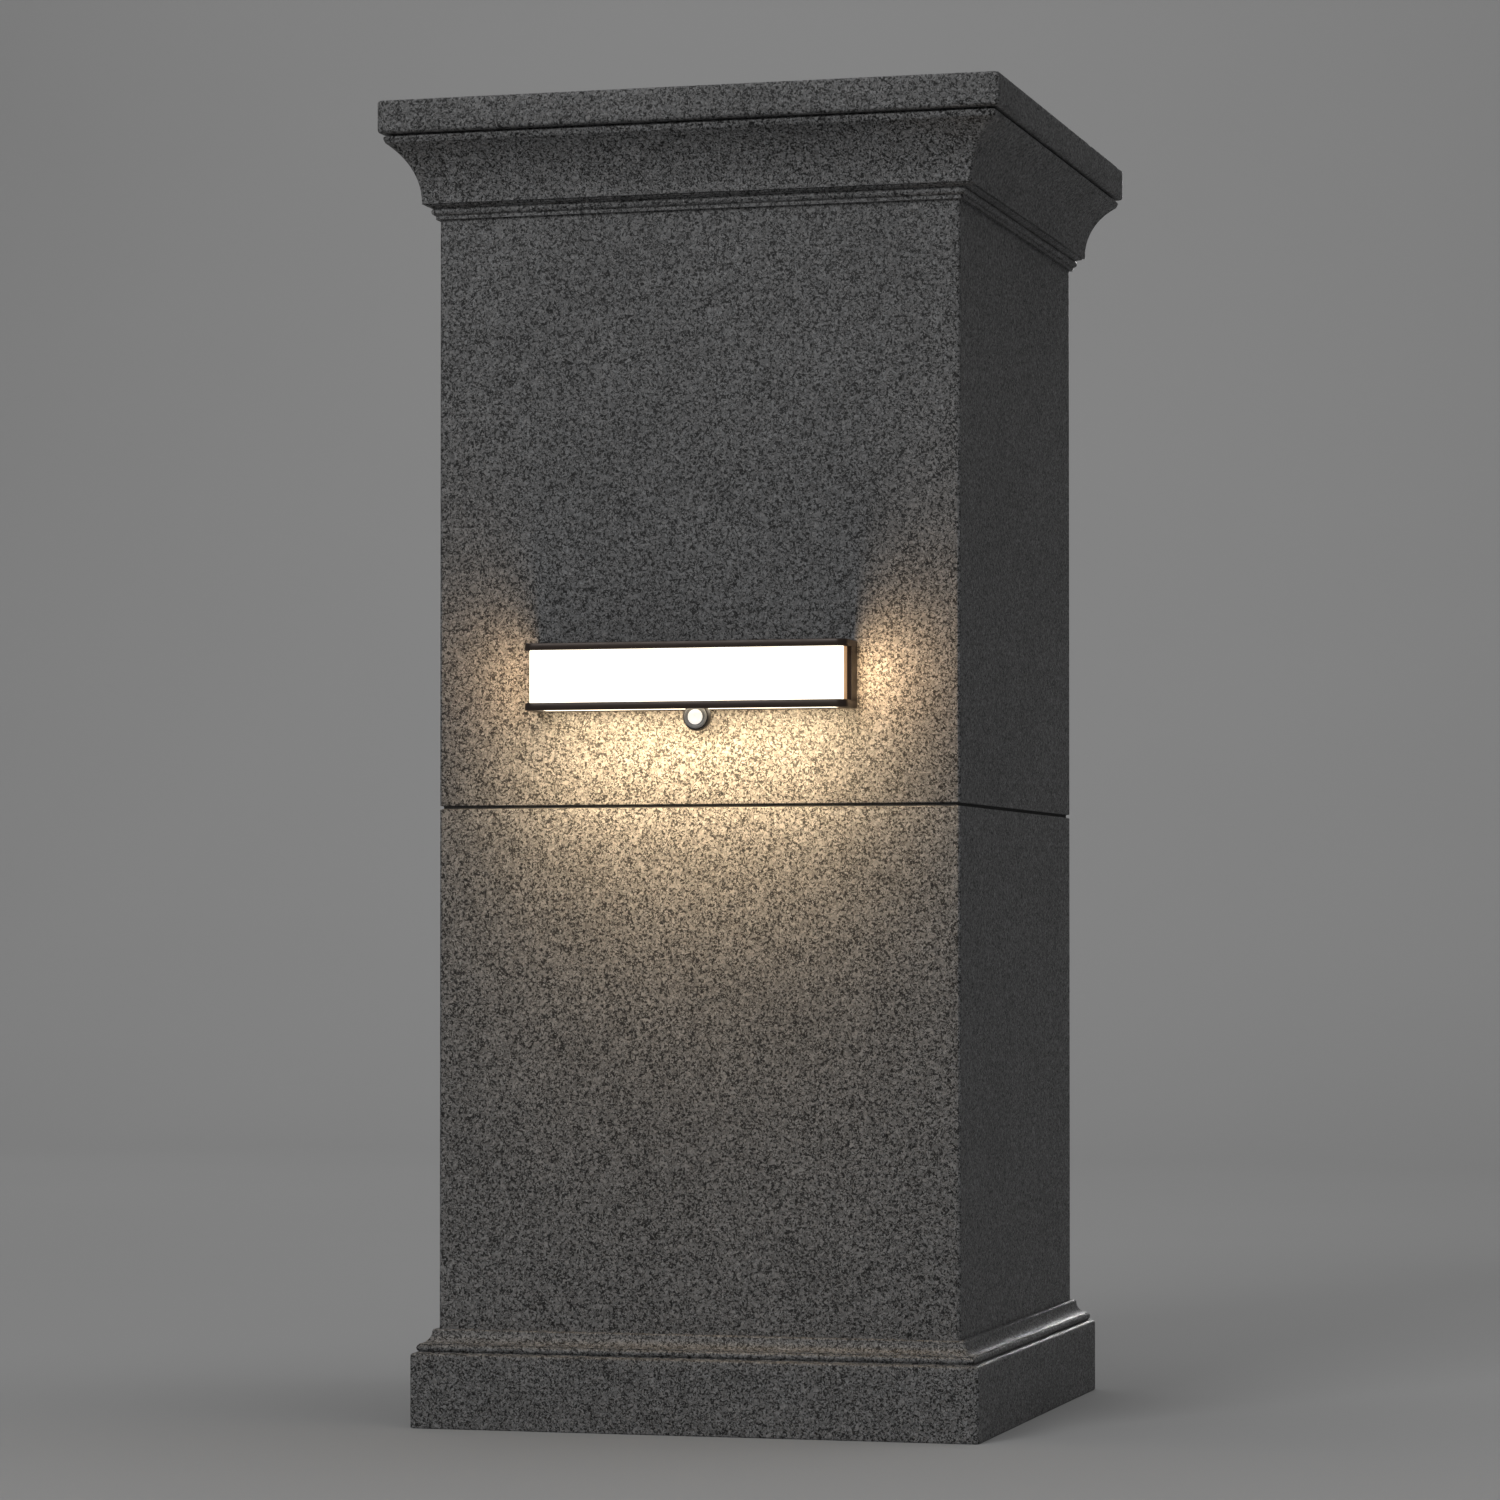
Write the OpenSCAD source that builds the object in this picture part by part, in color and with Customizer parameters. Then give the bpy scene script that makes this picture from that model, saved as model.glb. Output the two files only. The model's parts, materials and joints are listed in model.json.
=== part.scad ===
// Granite light pillar: mitred stone slabs on a steel core, with a linear wall light and an eyeball sensor.
// X runs to the right, Y to the back and Z up. The origin is the centre of the underside.
// The light and the sensor are on the front, which faces -Y. All sizes are in millimetres.

/* [Pillar] */
// Width of the square shaft
shaft_w = 500; // [460:5:560]
// Height of the whole pillar
pillar_h = 1238; // [1180:1:1320]
// Thickness of the shaft slabs
panel_t = 30; // [26:1:40]
// Radius of the upright stone edges
arris_r = 3; // [1:0.5:6]
// Height of the middle of the bed joint
joint_z = 579; // [540:1:610]
// Width of the bed joint
joint_w = 3; // [2:0.5:6]
// Depth of the pointing behind the stone face
joint_recess = 3; // [1:0.5:8]
// Chamfer of the slab edges along the bed joint
joint_chamfer = 1.5; // [0.5:0.25:2.5]

/* [Plinth] */
// Overhang of the plinth block beyond the shaft
plinth_out = 21.5; // [21:0.5:40]
// Height of the plinth block under its moulding
plinth_h = 70; // [60:1:90]
// Radius of the plinth block's upper edge
plinth_edge_r = 3; // [1:0.5:4]
// Radius of the round nose on the plinth
nose_r = 3.5; // [3:0.25:4]
// Height of the nose's centre over the plinth block
nose_rise = 4.5; // [4:0.25:5.5]
// Overhang of the round nose
nose_out = 17.2; // [15:0.1:18]
// Radius of the small cove over the nose
small_cove_r = 11.5; // [10:0.25:12]
// Overhang of the fillet that the shaft stands on
foot_out = 5.5; // [4:0.25:6]
// Radius of the fillet's upper edge
foot_edge_r = 2; // [1:0.25:3]

/* [Cornice and cap] */
// Overhang of the cap slab beyond the shaft
cap_out = 46.5; // [44:0.5:60]
// Thickness of the cap slab
cap_t = 31; // [25:1:50]
// Chamfer of the cap slab's upper edge
cap_top_edge = 2.5; // [1:0.25:5]
// Inward step of the cap slab's lower edge
cap_low_step = 3.5; // [1:0.25:5]
// Height of the cap slab's lower chamfer
cap_low_rise = 2.5; // [1:0.25:5]
// Height of the fillet under the cap slab
lip_h = 8; // [5:0.5:14]
// Inward slope of that fillet
lip_slope = 2; // [0.5:0.25:3]
// Height of the cove
cove_h = 52; // [40:1:60]
// Overhang of the cove's foot
cove_foot_out = 14; // [12.5:0.25:16]
// Height of the fillet at the cove's foot
cove_foot_h = 2.5; // [1:0.5:4]
// Step back under the cove's foot
quirk_in = 2.5; // [1:0.25:3]
// Height of the narrow neck under the step
neck_h = 3; // [2:0.25:4]
// Radius of the bead at the foot of the cornice
bead_r = 3.5; // [3:0.25:4]
// Overhang of that bead
bead_out = 7; // [6:0.25:8]

/* [Steel core] */
// Width of the square base plate
base_w = 400; // [360:5:420]
// Thickness of the base plate
base_t = 10; // [8:1:16]
// Distance between anchor holes
anchor_pitch = 300; // [240:5:320]
// Diameter of the anchor holes
anchor_d = 18; // [14:1:22]
// Width of the square post
post_w = 100; // [90:5:120]
// Wall thickness of the post
post_wall = 4; // [3:0.5:6]
// Outer corner radius of the post
post_corner_r = 8; // [7:0.5:12]
// Height and reach of the base gussets
gusset_size = 70; // [50:1:90]
// Thickness of the base gussets
gusset_t = 8; // [6:1:12]
// Distance of the base gussets from the middle of a side
gusset_shift = 30; // [30:1:34]
// Width of the square top plate
top_plate_w = 200; // [160:5:260]
// Thickness of the top plate
top_plate_t = 8; // [6:1:12]
// Diameter of the setting pads
pad_d = 40; // [25:1:50]
// Thickness of the setting pads
pad_t = 4; // [2:0.5:8]
// Distance between setting pads
pad_pitch = 140; // [110:5:150]

/* [Stone fixings] */
// Width of a panel tie
tie_w = 40; // [30:1:46]
// Thickness of a panel tie
tie_t = 5; // [3:0.5:8]
// Height of the tie's upright tab
tab_h = 44; // [36:1:60]
// Distance between the two screws of a tie
tie_screw_pitch = 26; // [20:1:28]
// Shank diameter of a tie screw
tie_screw_d = 6; // [5:0.5:8]
// Head diameter of a tie screw
tie_head_d = 10; // [9:0.5:12]
// Head height of a tie screw
tie_head_h = 4; // [3:0.5:6]
// Depth of a tie screw in the stone
tie_screw_bite = 18; // [12:1:20]
// Diameter of a stone dowel
dowel_d = 8; // [6:1:12]
// Length of a stone dowel
dowel_l = 50; // [30:1:54]
// Distance between the two dowels of a slab
dowel_pitch = 300; // [200:5:340]
// Radial clearance round screws and dowels in stone
fixing_clear = 0.3; // [0.1:0.1:1]
// Height of the plinth ties
tie_z_plinth = 36; // [34:1:50]
// Height of the lower slab ties
tie_z_lower = 330; // [200:5:480]
// Height of the upper slab ties
tie_z_upper = 850; // [780:5:1040]
// Distance of the cornice ties under the cap slab
tie_drop_cornice = 40; // [36:1:44]

/* [Cable way] */
// Outer diameter of the conduit
conduit_d = 20; // [16:1:22]
// Wall thickness of the conduit
conduit_wall = 1.5; // [1:0.25:2]
// Sideways position of the conduit
conduit_x = 35; // [32:1:37]
// Gap between conduit and post
conduit_gap = 3; // [3:0.5:6]
// Bend radius of the elbow
bend_r = 40; // [30:1:60]
// Radial clearance of the conduit in its holes
conduit_clear = 0.5; // [0.2:0.1:1]
// Height of a conduit clip
clip_h = 14; // [10:1:20]
// Thickness of a clip round the conduit
clip_t = 2.5; // [1.5:0.25:2.75]
// Height of the lowest clip
clip_z = 130; // [100:5:160]
// Number of clips
clip_count = 4; // [2:1:4]
// Distance between clips
clip_pitch = 155; // [140:5:165]

/* [Light] */
// Length of the light
light_l = 308; // [256:2:370]
// Depth of the light from the stone
light_depth = 45; // [44:0.5:52]
// Height of the underside of the light
light_z = 667; // [650:1:720]
// Height of the light
light_h = 62; // [60:0.5:72]
// Thickness of the bottom rim
bottom_rim_t = 7; // [7:0.25:8]
// Thickness of the top rim
top_rim_t = 6.5; // [5:0.25:8]
// Corner radius of the rims
rim_r = 9.5; // [8:0.5:12]
// Distance of the diffuser behind the rim edges
diffuser_step = 4; // [3:0.25:5]
// Corner radius of the diffuser
diffuser_r = 7; // [6:0.5:9]
// Wall thickness of the diffuser
diffuser_wall = 2.5; // [2:0.25:3]
// Thickness of the wall gasket
gasket_t = 1.5; // [1:0.25:3]
// Wall thickness of the housing
housing_wall = 2.5; // [2:0.25:3.5]
// Width of the housing's front lips behind the diffuser's ends
lip_w = 8; // [6.75:0.25:9]
// Depth of the housing behind the diffuser
housing_depth = 22.5; // [22:0.25:24]
// Gap between the light's separate pieces
piece_gap = 0.3; // [0.2:0.05:0.4]
// Distance of the lens in the underside from the light's ends
down_lens_inset = 9; // [8:0.5:21]
// Width of the lens in the underside
down_lens_w = 38; // [37:0.25:38.5]
// Width of the ledge that holds the lens
lens_ledge = 2; // [1.5:0.25:2.5]
// Height of that ledge
lens_ledge_h = 3; // [2.5:0.25:3.5]
// Set-back of the lens over the underside
lens_recess = 1; // [0.5:0.25:1.5]

/* [Inside the light] */
// Height of the LED tray
tray_h = 34; // [28:1:36]
// Gap over the LED tray
tray_drop = 2.5; // [1:0.25:3]
// Distance of the LED tray from the light's ends
tray_inset = 12; // [11:1:31]
// Thickness of the LED tray
tray_t = 1.5; // [1:0.25:2]
// Height of the LED board
board_h = 16; // [12:1:20]
// Distance of the LED board from the tray's ends
board_inset = 9; // [7:1:29]
// Thickness of the LED board
board_t = 1.6; // [1:0.2:2]
// Side of a square LED chip
chip_w = 3.5; // [2:0.25:5]
// Height of an LED chip
chip_t = 0.8; // [0.5:0.1:1.2]
// Distance between LED chips
chip_pitch = 11.5; // [8:0.5:11.5]
// Distance of the tray's screws from its ends
tray_screw_end = 24; // [21:1:28]
// Inset of the tray's screws from its long edges
tray_screw_inset = 5; // [4.75:0.25:5.5]
// Length of a tray screw behind the tray
tray_screw_l = 8; // [5:0.5:14]
// Diameter of a tray spacer
spacer_d = 6; // [5.5:0.25:6.25]
// Shank diameter of a small screw
small_screw_d = 3; // [2.5:0.25:3.5]
// Head diameter of a small screw
small_head_d = 5.5; // [5:0.25:6]
// Head height of a small screw
small_head_h = 1.8; // [1.2:0.1:2.2]
// Length of a rim screw under its head
rim_screw_l = 14; // [10:0.5:18]
// Diameter of the bosses for the rim screws
boss_d = 7; // [6.5:0.25:8]
// Depth that the bosses merge into the back wall
boss_merge = 0.5; // [0.25:0.25:1]
// Inset of the rim screws from the light's ends
rim_screw_inset = 5.5; // [5.25:0.25:6]
// Distance between the mounting screws
mount_pitch = 200; // [180:2:206]
// Diameter of a wall plug
plug_d = 6; // [5:0.5:8]
// Length of a wall plug
plug_l = 24; // [18:1:25]
// Shank diameter of a mounting screw
mount_screw_d = 3.8; // [3:0.2:4.4]
// Head diameter of a mounting screw
mount_head_d = 7.5; // [7:0.25:9]
// Head height of a mounting screw
mount_head_h = 2.4; // [2:0.1:3]
// Length of the LED driver
driver_l = 74; // [60:1:80]
// Distance of the LED driver from the left mounting screw
driver_shift = 12; // [10:1:14]
// Height of the LED driver
driver_h = 30; // [22:1:36]
// Depth of the LED driver
driver_depth = 15; // [10:0.5:17]
// Length of the terminal block
terminal_l = 26; // [18:1:28]
// Gap between cable gland and terminal block
terminal_gap = 5; // [2:0.5:6]
// Diameter of the terminal block's wire holes
wire_hole_d = 3; // [2:0.25:4]
// Height of the terminal block
terminal_h = 18; // [12:1:24]
// Depth of the terminal block
terminal_depth = 12; // [8:0.5:15]
// Diameter of the cable gland's nut
gland_nut_d = 18; // [16:0.5:20]
// Height of the cable gland's nut
gland_nut_h = 5; // [4:0.5:6]
// Diameter of the cable gland's neck
gland_neck_d = 12; // [10:0.5:13]
// Diameter of the cable hole in the gland
gland_bore_d = 7; // [5:0.5:8]

/* [Sensor] */
// Distance of the sensor to the right of the light's middle
ball_x = 8; // [-12:1:12]
// Diameter of the sensor ball
ball_d = 26; // [25:0.5:27]
// Wall thickness of the ball
ball_wall = 2; // [1.5:0.25:2.25]
// Height of the ball's top over the underside of the light
ball_sink = 6; // [5.5:0.25:6.25]
// Distance of the ball's centre from the stone
ball_out = 24; // [23.5:0.25:24.5]
// Width of the ball's flat edge round the ring
ring_edge = 1.16; // [0.9:0.02:1.2]
// Outer diameter of the ring on the ball's flat face
ring_d = 21.6; // [20.6:0.1:21.6]
// Thickness of that ring
ring_t = 2; // [1.5:0.1:2.1]
// Diameter of the sensor lens
sensor_lens_d = 14; // [12:0.5:15]
// Height of the lens before the ring
sensor_lens_out = 0.6; // [0.2:0.1:1]
// Wall thickness of the sensor lens
sensor_lens_wall = 1; // [0.6:0.1:1.2]
// Radial gap round the sensor lens
sensor_lens_gap = 0.1; // [0.05:0.05:0.3]
// Gap between the ball and what is round it
ball_clear = 0.5; // [0.4:0.1:0.6]
// Diameter of the swivel stem
stem_d = 6; // [5:0.25:6.5]
// Diameter of the swivel's cross hub
hub_d = 6.4; // [6.4:0.1:6.8]
// Length of the swivel's cross hub
hub_l = 12; // [8:0.5:13]
// Diameter of the tilt axle
axle_d = 3; // [2:0.25:3.5]
// Radial running clearance of axle and stem
run_clear = 0.05; // [0.02:0.01:0.1]
// Thickness of the sensor socket plate
socket_t = 3; // [2:0.25:3.5]
// Length of the socket plate
socket_l = 44; // [36:1:60]
// Width of the socket plate
socket_w = 25; // [20:0.5:26]
// Diameter of the nut on the swivel
swivel_nut_d = 11; // [9:0.5:13]
// Height of the nut on the swivel
swivel_nut_h = 3; // [2:0.25:4]
// Length of the stem over its nut
stem_over = 2; // [0.5:0.5:3]
// Thickness of the sensor board
sensor_board_t = 1; // [0.8:0.1:1.1]
// Diameter of the sensor board
sensor_board_d = 18; // [14:0.5:18.5]
// Diameter of the infrared element
pir_d = 6; // [4:0.25:9]
// Height of the infrared element
pir_h = 1.4; // [0.8:0.1:1.5]
// Largest downward tilt of the sensor
tilt_down = 40; // [10:1:40]
// Largest upward tilt of the sensor
tilt_up = 5; // [0:1:5]

/* [Hidden] */

// Facets of a true circle
round_fn = 72;
// Steps in a moulding's curve
curve_steps = 10;
// Cutters reach this far past a face
over = 1;

// Side numbers, counted anticlockwise from the front
front = 0;
right = 1;
back = 2;
left = 3;
sides = [front, right, back, left];

half = shaft_w / 2;
inner_half = half - panel_t;
big = shaft_w + 2 * cap_out;
mid_t = half - panel_t / 2;

cap_z = pillar_h - cap_t;
lip_out = cap_out - cap_low_step;
cove_top_out = lip_out - lip_slope;
cove_run = cove_top_out - cove_foot_out;
cove_r = (cove_run * cove_run + cove_h * cove_h) / (2 * cove_run);
cove_turn = asin(cove_h / cove_r);
cove_top_z = cap_z - lip_h;
cove_foot_z = cove_top_z - cove_h;
neck_top_z = cove_foot_z - cove_foot_h;
neck_out = cove_foot_out - quirk_in;
bead_top_z = neck_top_z - neck_h;
bead_z = bead_top_z - bead_r;
shaft_top_z = bead_z - 2 * bead_r;

nose_z = plinth_h + nose_rise;
small_cove_z = nose_z + nose_r + small_cove_r;
small_cove_out = foot_out + small_cove_r;
foot_z = small_cove_z;
shaft_foot_z = foot_z + foot_edge_r;
nose_low = -65;
nose_high = 65;
cove_start = 262;
cove_end = 184;

joint_low = joint_z - joint_w / 2;
joint_high = joint_z + joint_w / 2;

post_half = post_w / 2;
post_top_z = cap_z - pad_t - top_plate_t;
conduit_r = conduit_d / 2;
conduit_y = -post_half - conduit_gap - conduit_r;
outlet_z = light_z + light_h / 2;
bend_z = outlet_z - bend_r;
bend_y = conduit_y - bend_r;

tie_levels = [tie_z_plinth, tie_z_lower, tie_z_upper, cap_z - tie_drop_cornice];
dowel_levels = [shaft_foot_z, joint_z, shaft_top_z, cap_z];

light_y = -half;
housing_y = light_y - gasket_t;
light_front = light_y - light_depth;
rim_top_z = light_z + light_h;
chamber_low = light_z + bottom_rim_t;
chamber_high = rim_top_z - top_rim_t;
chamber_h = chamber_high - chamber_low;
housing_front = housing_y - housing_depth;
housing_inner = housing_y - housing_wall;
diffuser_front = light_front + diffuser_step;
diffuser_rear = housing_front - piece_gap;
diffuser_half = light_l / 2 - diffuser_step;
rim_screw_x = light_l / 2 - rim_screw_inset;
rim_screw_y = housing_inner - boss_d / 2 + boss_merge;

down_lens_l = light_l - 2 * down_lens_inset;
lens_y = light_y - light_depth / 2;
lens_flange_z = light_z + lens_ledge_h;
lens_top_z = light_z + ball_sink + ball_clear;

tray_l = light_l - 2 * tray_inset;
board_l = tray_l - 2 * board_inset;
tray_screw_pitch = tray_l - 2 * tray_screw_end;
tray_front = housing_front;
tray_back = tray_front + tray_t;
tray_z = chamber_high - tray_drop - tray_h / 2;
board_front = tray_front - board_t;
chip_count = floor((board_l - chip_w) / chip_pitch);
tray_screw_z = [tray_z - tray_h / 2 + tray_screw_inset, tray_z + tray_h / 2 - tray_screw_inset];

ball_y = light_y - ball_out;
ball_r = ball_d / 2;
ball_z = light_z + ball_sink - ball_r;
ball_inner_r = ball_r - ball_wall;
axle_half = ball_r - ball_wall / 2;
socket_z = lens_top_z;
stem_top_z = socket_z + socket_t + swivel_nut_h + stem_over;
flat_r = ring_d / 2 + ring_edge;
ring_back = sqrt(ball_r * ball_r - flat_r * flat_r);
face_out = ring_back + ring_t;
board_back = ring_back - sensor_board_t;

granite = [0.22, 0.22, 0.23];
mortar = [0.12, 0.12, 0.12];
steel = [0.62, 0.63, 0.65];
dark_metal = [0.05, 0.045, 0.04];
light_grey = [0.75, 0.75, 0.73];
opal = [0.95, 0.93, 0.88];
circuit = [0.9, 0.92, 0.9];
rubber_black = [0.05, 0.05, 0.05];

// Points of an arc, from one angle to another
function arc(cx, cy, r, from, to) =
    [for (i = [0 : curve_steps])
        let (a = from + (to - from) * i / curve_steps)
        [cx + r * cos(a), cy + r * sin(a)]];

// Plinth section: first value outward from the shaft face, second value the height
function plinth_section() = concat(
    [[-panel_t, 0], [plinth_out, 0]],
    arc(plinth_out - plinth_edge_r, plinth_h - plinth_edge_r, plinth_edge_r, 0, 90),
    arc(nose_out - nose_r, nose_z, nose_r, nose_low, nose_high),
    arc(small_cove_out, small_cove_z, small_cove_r, cove_start, cove_end),
    arc(foot_out - foot_edge_r, foot_z, foot_edge_r, 0, 90),
    [[-panel_t, shaft_foot_z]]);

// Cornice section, in the same two directions
function cornice_section() = concat(
    [[-panel_t, shaft_top_z], [bead_out - bead_r, shaft_top_z]],
    [[bead_out - bead_r, bead_z - bead_r]],
    arc(bead_out - bead_r, bead_z, bead_r, -90, 60),
    [[neck_out, bead_top_z + neck_h / 2]],
    [[neck_out, neck_top_z], [cove_foot_out, neck_top_z]],
    arc(cove_foot_out + cove_r, cove_foot_z, cove_r, 180, 180 - cove_turn),
    [[lip_out, cap_z], [-panel_t, cap_z]]);

// Square outline with rounded corners
module rounded_square(half_w, r) {
    square([2 * half_w, 2 * (half_w - r)], center = true);
    square([2 * (half_w - r), 2 * half_w], center = true);
    for (x = [-1, 1], y = [-1, 1])
        translate([x * (half_w - r), y * (half_w - r)])
            circle(r = r, $fn = round_fn);
}

// Turns what is drawn for the front to another side
module on_side(side) {
    rotate([0, 0, side * 90])
        children();
}

// Keeps the front quarter between the two mitres
module mitred(low, high) {
    intersection() {
        children();
        translate([0, 0, low - over])
            linear_extrude(high - low + 2 * over)
                polygon([[0, 0], [-big, -big], [big, -big]]);
    }
}

// Draws an outward section along the front
module along_front(points) {
    rotate([90, 0, 90])
        linear_extrude(big, center = true)
            polygon([for (p = points) [-half - p[0], p[1]]]);
}

// Rod along Y between two positions
module rod_y(x, z, d, y_from, y_to) {
    translate([x, max(y_from, y_to), z])
        rotate([90, 0, 0])
            cylinder(d = d, h = abs(y_from - y_to), $fn = round_fn);
}

// Rod along Z between two heights
module rod_z(x, y, d, z_from, z_to) {
    translate([x, y, z_from])
        cylinder(d = d, h = z_to - z_from, $fn = round_fn);
}

// Block between two corners
module block(low, high) {
    translate(low)
        cube(high - low);
}

// Places along the front slab where the dowels stand
module at_dowels() {
    for (x = [-1, 1])
        translate([x * dowel_pitch / 2, -mid_t, 0])
            children();
}

// Blind dowel holes at one bed of a slab
module dowel_holes(z) {
    at_dowels()
        translate([0, 0, z - dowel_l / 2 - fixing_clear])
            cylinder(d = dowel_d + 2 * fixing_clear, h = dowel_l + 2 * fixing_clear, $fn = round_fn);
}

// Blind holes for the two screws of a tie
module tie_holes(z) {
    for (s = [-1, 1])
        rod_y(0, z + s * tie_screw_pitch / 2, tie_screw_d + 2 * fixing_clear,
            -inner_half + over, -inner_half - tie_screw_bite - fixing_clear);
}

// Plain shaft slab for the front, between two heights
module shaft_slab(low, high, chamfer_z, chamfer_up) {
    difference() {
        mitred(low, high)
            translate([0, 0, low])
                linear_extrude(high - low)
                    difference() {
                        rounded_square(half, arris_r);
                        square(2 * inner_half, center = true);
                    }
        rotate([90, 0, 90])
            linear_extrude(big, center = true)
                polygon([[-half - over, chamfer_z - chamfer_up * over],
                    [-half - over, chamfer_z + chamfer_up * (joint_chamfer + over)],
                    [-half + joint_chamfer + over, chamfer_z - chamfer_up * over]]);
    }
}

module plinth_piece() {
    color(granite)
        difference() {
            mitred(0, shaft_foot_z)
                along_front(plinth_section());
            dowel_holes(shaft_foot_z);
            tie_holes(tie_z_plinth);
        }
}

module lower_piece() {
    color(granite)
        difference() {
            shaft_slab(shaft_foot_z, joint_low, joint_low, -1);
            dowel_holes(shaft_foot_z);
            dowel_holes(joint_z);
            tie_holes(tie_z_lower);
        }
}

module upper_piece() {
    color(granite)
        difference() {
            shaft_slab(joint_high, shaft_top_z, joint_high, 1);
            dowel_holes(joint_z);
            dowel_holes(shaft_top_z);
            tie_holes(tie_z_upper);
        }
}

module cornice_piece() {
    color(granite)
        difference() {
            mitred(shaft_top_z, cap_z)
                along_front(cornice_section());
            dowel_holes(shaft_top_z);
            dowel_holes(cap_z);
            tie_holes(cap_z - tie_drop_cornice);
        }
}

module plinth_front() { on_side(front) plinth_piece(); }
module plinth_right() { on_side(right) plinth_piece(); }
module plinth_back() { on_side(back) plinth_piece(); }
module plinth_left() { on_side(left) plinth_piece(); }
module lower_front() { on_side(front) lower_piece(); }
module lower_right() { on_side(right) lower_piece(); }
module lower_back() { on_side(back) lower_piece(); }
module lower_left() { on_side(left) lower_piece(); }
module upper_right() { on_side(right) upper_piece(); }
module upper_back() { on_side(back) upper_piece(); }
module upper_left() { on_side(left) upper_piece(); }
module cornice_front() { on_side(front) cornice_piece(); }
module cornice_right() { on_side(right) cornice_piece(); }
module cornice_back() { on_side(back) cornice_piece(); }
module cornice_left() { on_side(left) cornice_piece(); }

// The front slab also has the light's cable hole and plug holes
module upper_front() {
    color(granite)
        difference() {
            upper_piece();
            rod_y(conduit_x, outlet_z, conduit_d + 2 * conduit_clear, -inner_half + over, -half - over);
            for (x = [-1, 1])
                rod_y(x * mount_pitch / 2, outlet_z, plug_d + 2 * piece_gap,
                    -half - over, -half + plug_l + piece_gap);
        }
}

module cap_slab() {
    cap_half = half + cap_out;
    low_slope = cap_low_rise / cap_low_step;
    color(granite)
        difference() {
            translate([0, 0, cap_z])
                linear_extrude(cap_t)
                    rounded_square(cap_half, arris_r);
            for (side = sides) {
                on_side(side)
                    rotate([90, 0, 90])
                        linear_extrude(big + 2 * over, center = true)
                            polygon([[-cap_half - over, pillar_h + over],
                                [-cap_half - over, pillar_h - cap_top_edge - over],
                                [-cap_half + cap_top_edge + over, pillar_h + over]]);
                on_side(side)
                    rotate([90, 0, 90])
                        linear_extrude(big + 2 * over, center = true)
                            polygon([
                                [-cap_half - over, cap_z + cap_low_rise + over * low_slope],
                                [-cap_half - over, cap_z - over],
                                [-cap_half + cap_low_step + over / low_slope, cap_z - over]]);
                on_side(side)
                    dowel_holes(cap_z);
            }
        }
}

module bed_pointing() {
    outer = half - joint_recess;
    color(mortar)
        for (side = sides)
            on_side(side)
                difference() {
                    translate([0, 0, joint_low])
                        linear_extrude(joint_w)
                            polygon([[-outer, -outer], [outer, -outer],
                                [inner_half, -inner_half], [-inner_half, -inner_half]]);
                    dowel_holes(joint_z);
                }
}

module base_plate() {
    color(steel)
        difference() {
            translate([0, 0, base_t / 2])
                cube([base_w, base_w, base_t], center = true);
            for (x = [-1, 1], y = [-1, 1])
                rod_z(x * anchor_pitch / 2, y * anchor_pitch / 2, anchor_d, -over, base_t + over);
            rod_z(conduit_x, conduit_y, conduit_d + 2 * conduit_clear, -over, base_t + over);
        }
}

module core_post() {
    color(steel)
        translate([0, 0, base_t])
            linear_extrude(post_top_z - base_t)
                difference() {
                    rounded_square(post_half, post_corner_r);
                    rounded_square(post_half - post_wall, post_corner_r - post_wall);
                }
}

module base_gussets() {
    color(steel)
        for (side = sides)
            on_side(side)
                translate([-gusset_shift, 0, 0])
                    rotate([90, 0, 90])
                        linear_extrude(gusset_t, center = true)
                            polygon([[-post_half, base_t], [-post_half - gusset_size, base_t],
                                [-post_half - gusset_size, base_t + gusset_t],
                                [-post_half, base_t + gusset_size]]);
}

module top_plate() {
    color(steel)
        translate([0, 0, post_top_z + top_plate_t / 2])
            cube([top_plate_w, top_plate_w, top_plate_t], center = true);
}

module setting_pads() {
    color(rubber_black)
        for (x = [-1, 1], y = [-1, 1])
            rod_z(x * pad_pitch / 2, y * pad_pitch / 2, pad_d, cap_z - pad_t, cap_z);
}

// One tie: a bar from the post, ending in an upright tab against the stone
module panel_tie(z) {
    tie_front = -inner_half;
    difference() {
        union() {
            block([-tie_w / 2, tie_front, z - tie_t / 2], [tie_w / 2, -post_half, z + tie_t / 2]);
            block([-tie_w / 2, tie_front, z - tab_h / 2], [tie_w / 2, tie_front + tie_t, z + tab_h / 2]);
        }
        for (s = [-1, 1])
            rod_y(0, z + s * tie_screw_pitch / 2, tie_screw_d + 2 * fixing_clear,
                tie_front - over, tie_front + tie_t + over);
    }
}

module panel_ties() {
    color(steel)
        for (side = sides, z = tie_levels)
            on_side(side)
                panel_tie(z);
}

module tie_screws() {
    head_y = -inner_half + tie_t;
    color(steel)
        for (side = sides, z = tie_levels, s = [-1, 1])
            on_side(side) {
                rod_y(0, z + s * tie_screw_pitch / 2, tie_screw_d, head_y, -inner_half - tie_screw_bite);
                rod_y(0, z + s * tie_screw_pitch / 2, tie_head_d, head_y, head_y + tie_head_h);
            }
}

module stone_dowels() {
    color(steel)
        for (side = sides, z = dowel_levels)
            on_side(side)
                at_dowels()
                    translate([0, 0, z - dowel_l / 2])
                        cylinder(d = dowel_d, h = dowel_l, $fn = round_fn);
}

// Tube section
module tube_ring() {
    difference() {
        circle(r = conduit_r, $fn = round_fn);
        circle(r = conduit_r - conduit_wall, $fn = round_fn);
    }
}

module riser_conduit() {
    color(light_grey)
        translate([conduit_x, conduit_y, 0])
            linear_extrude(bend_z)
                tube_ring();
}

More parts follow.
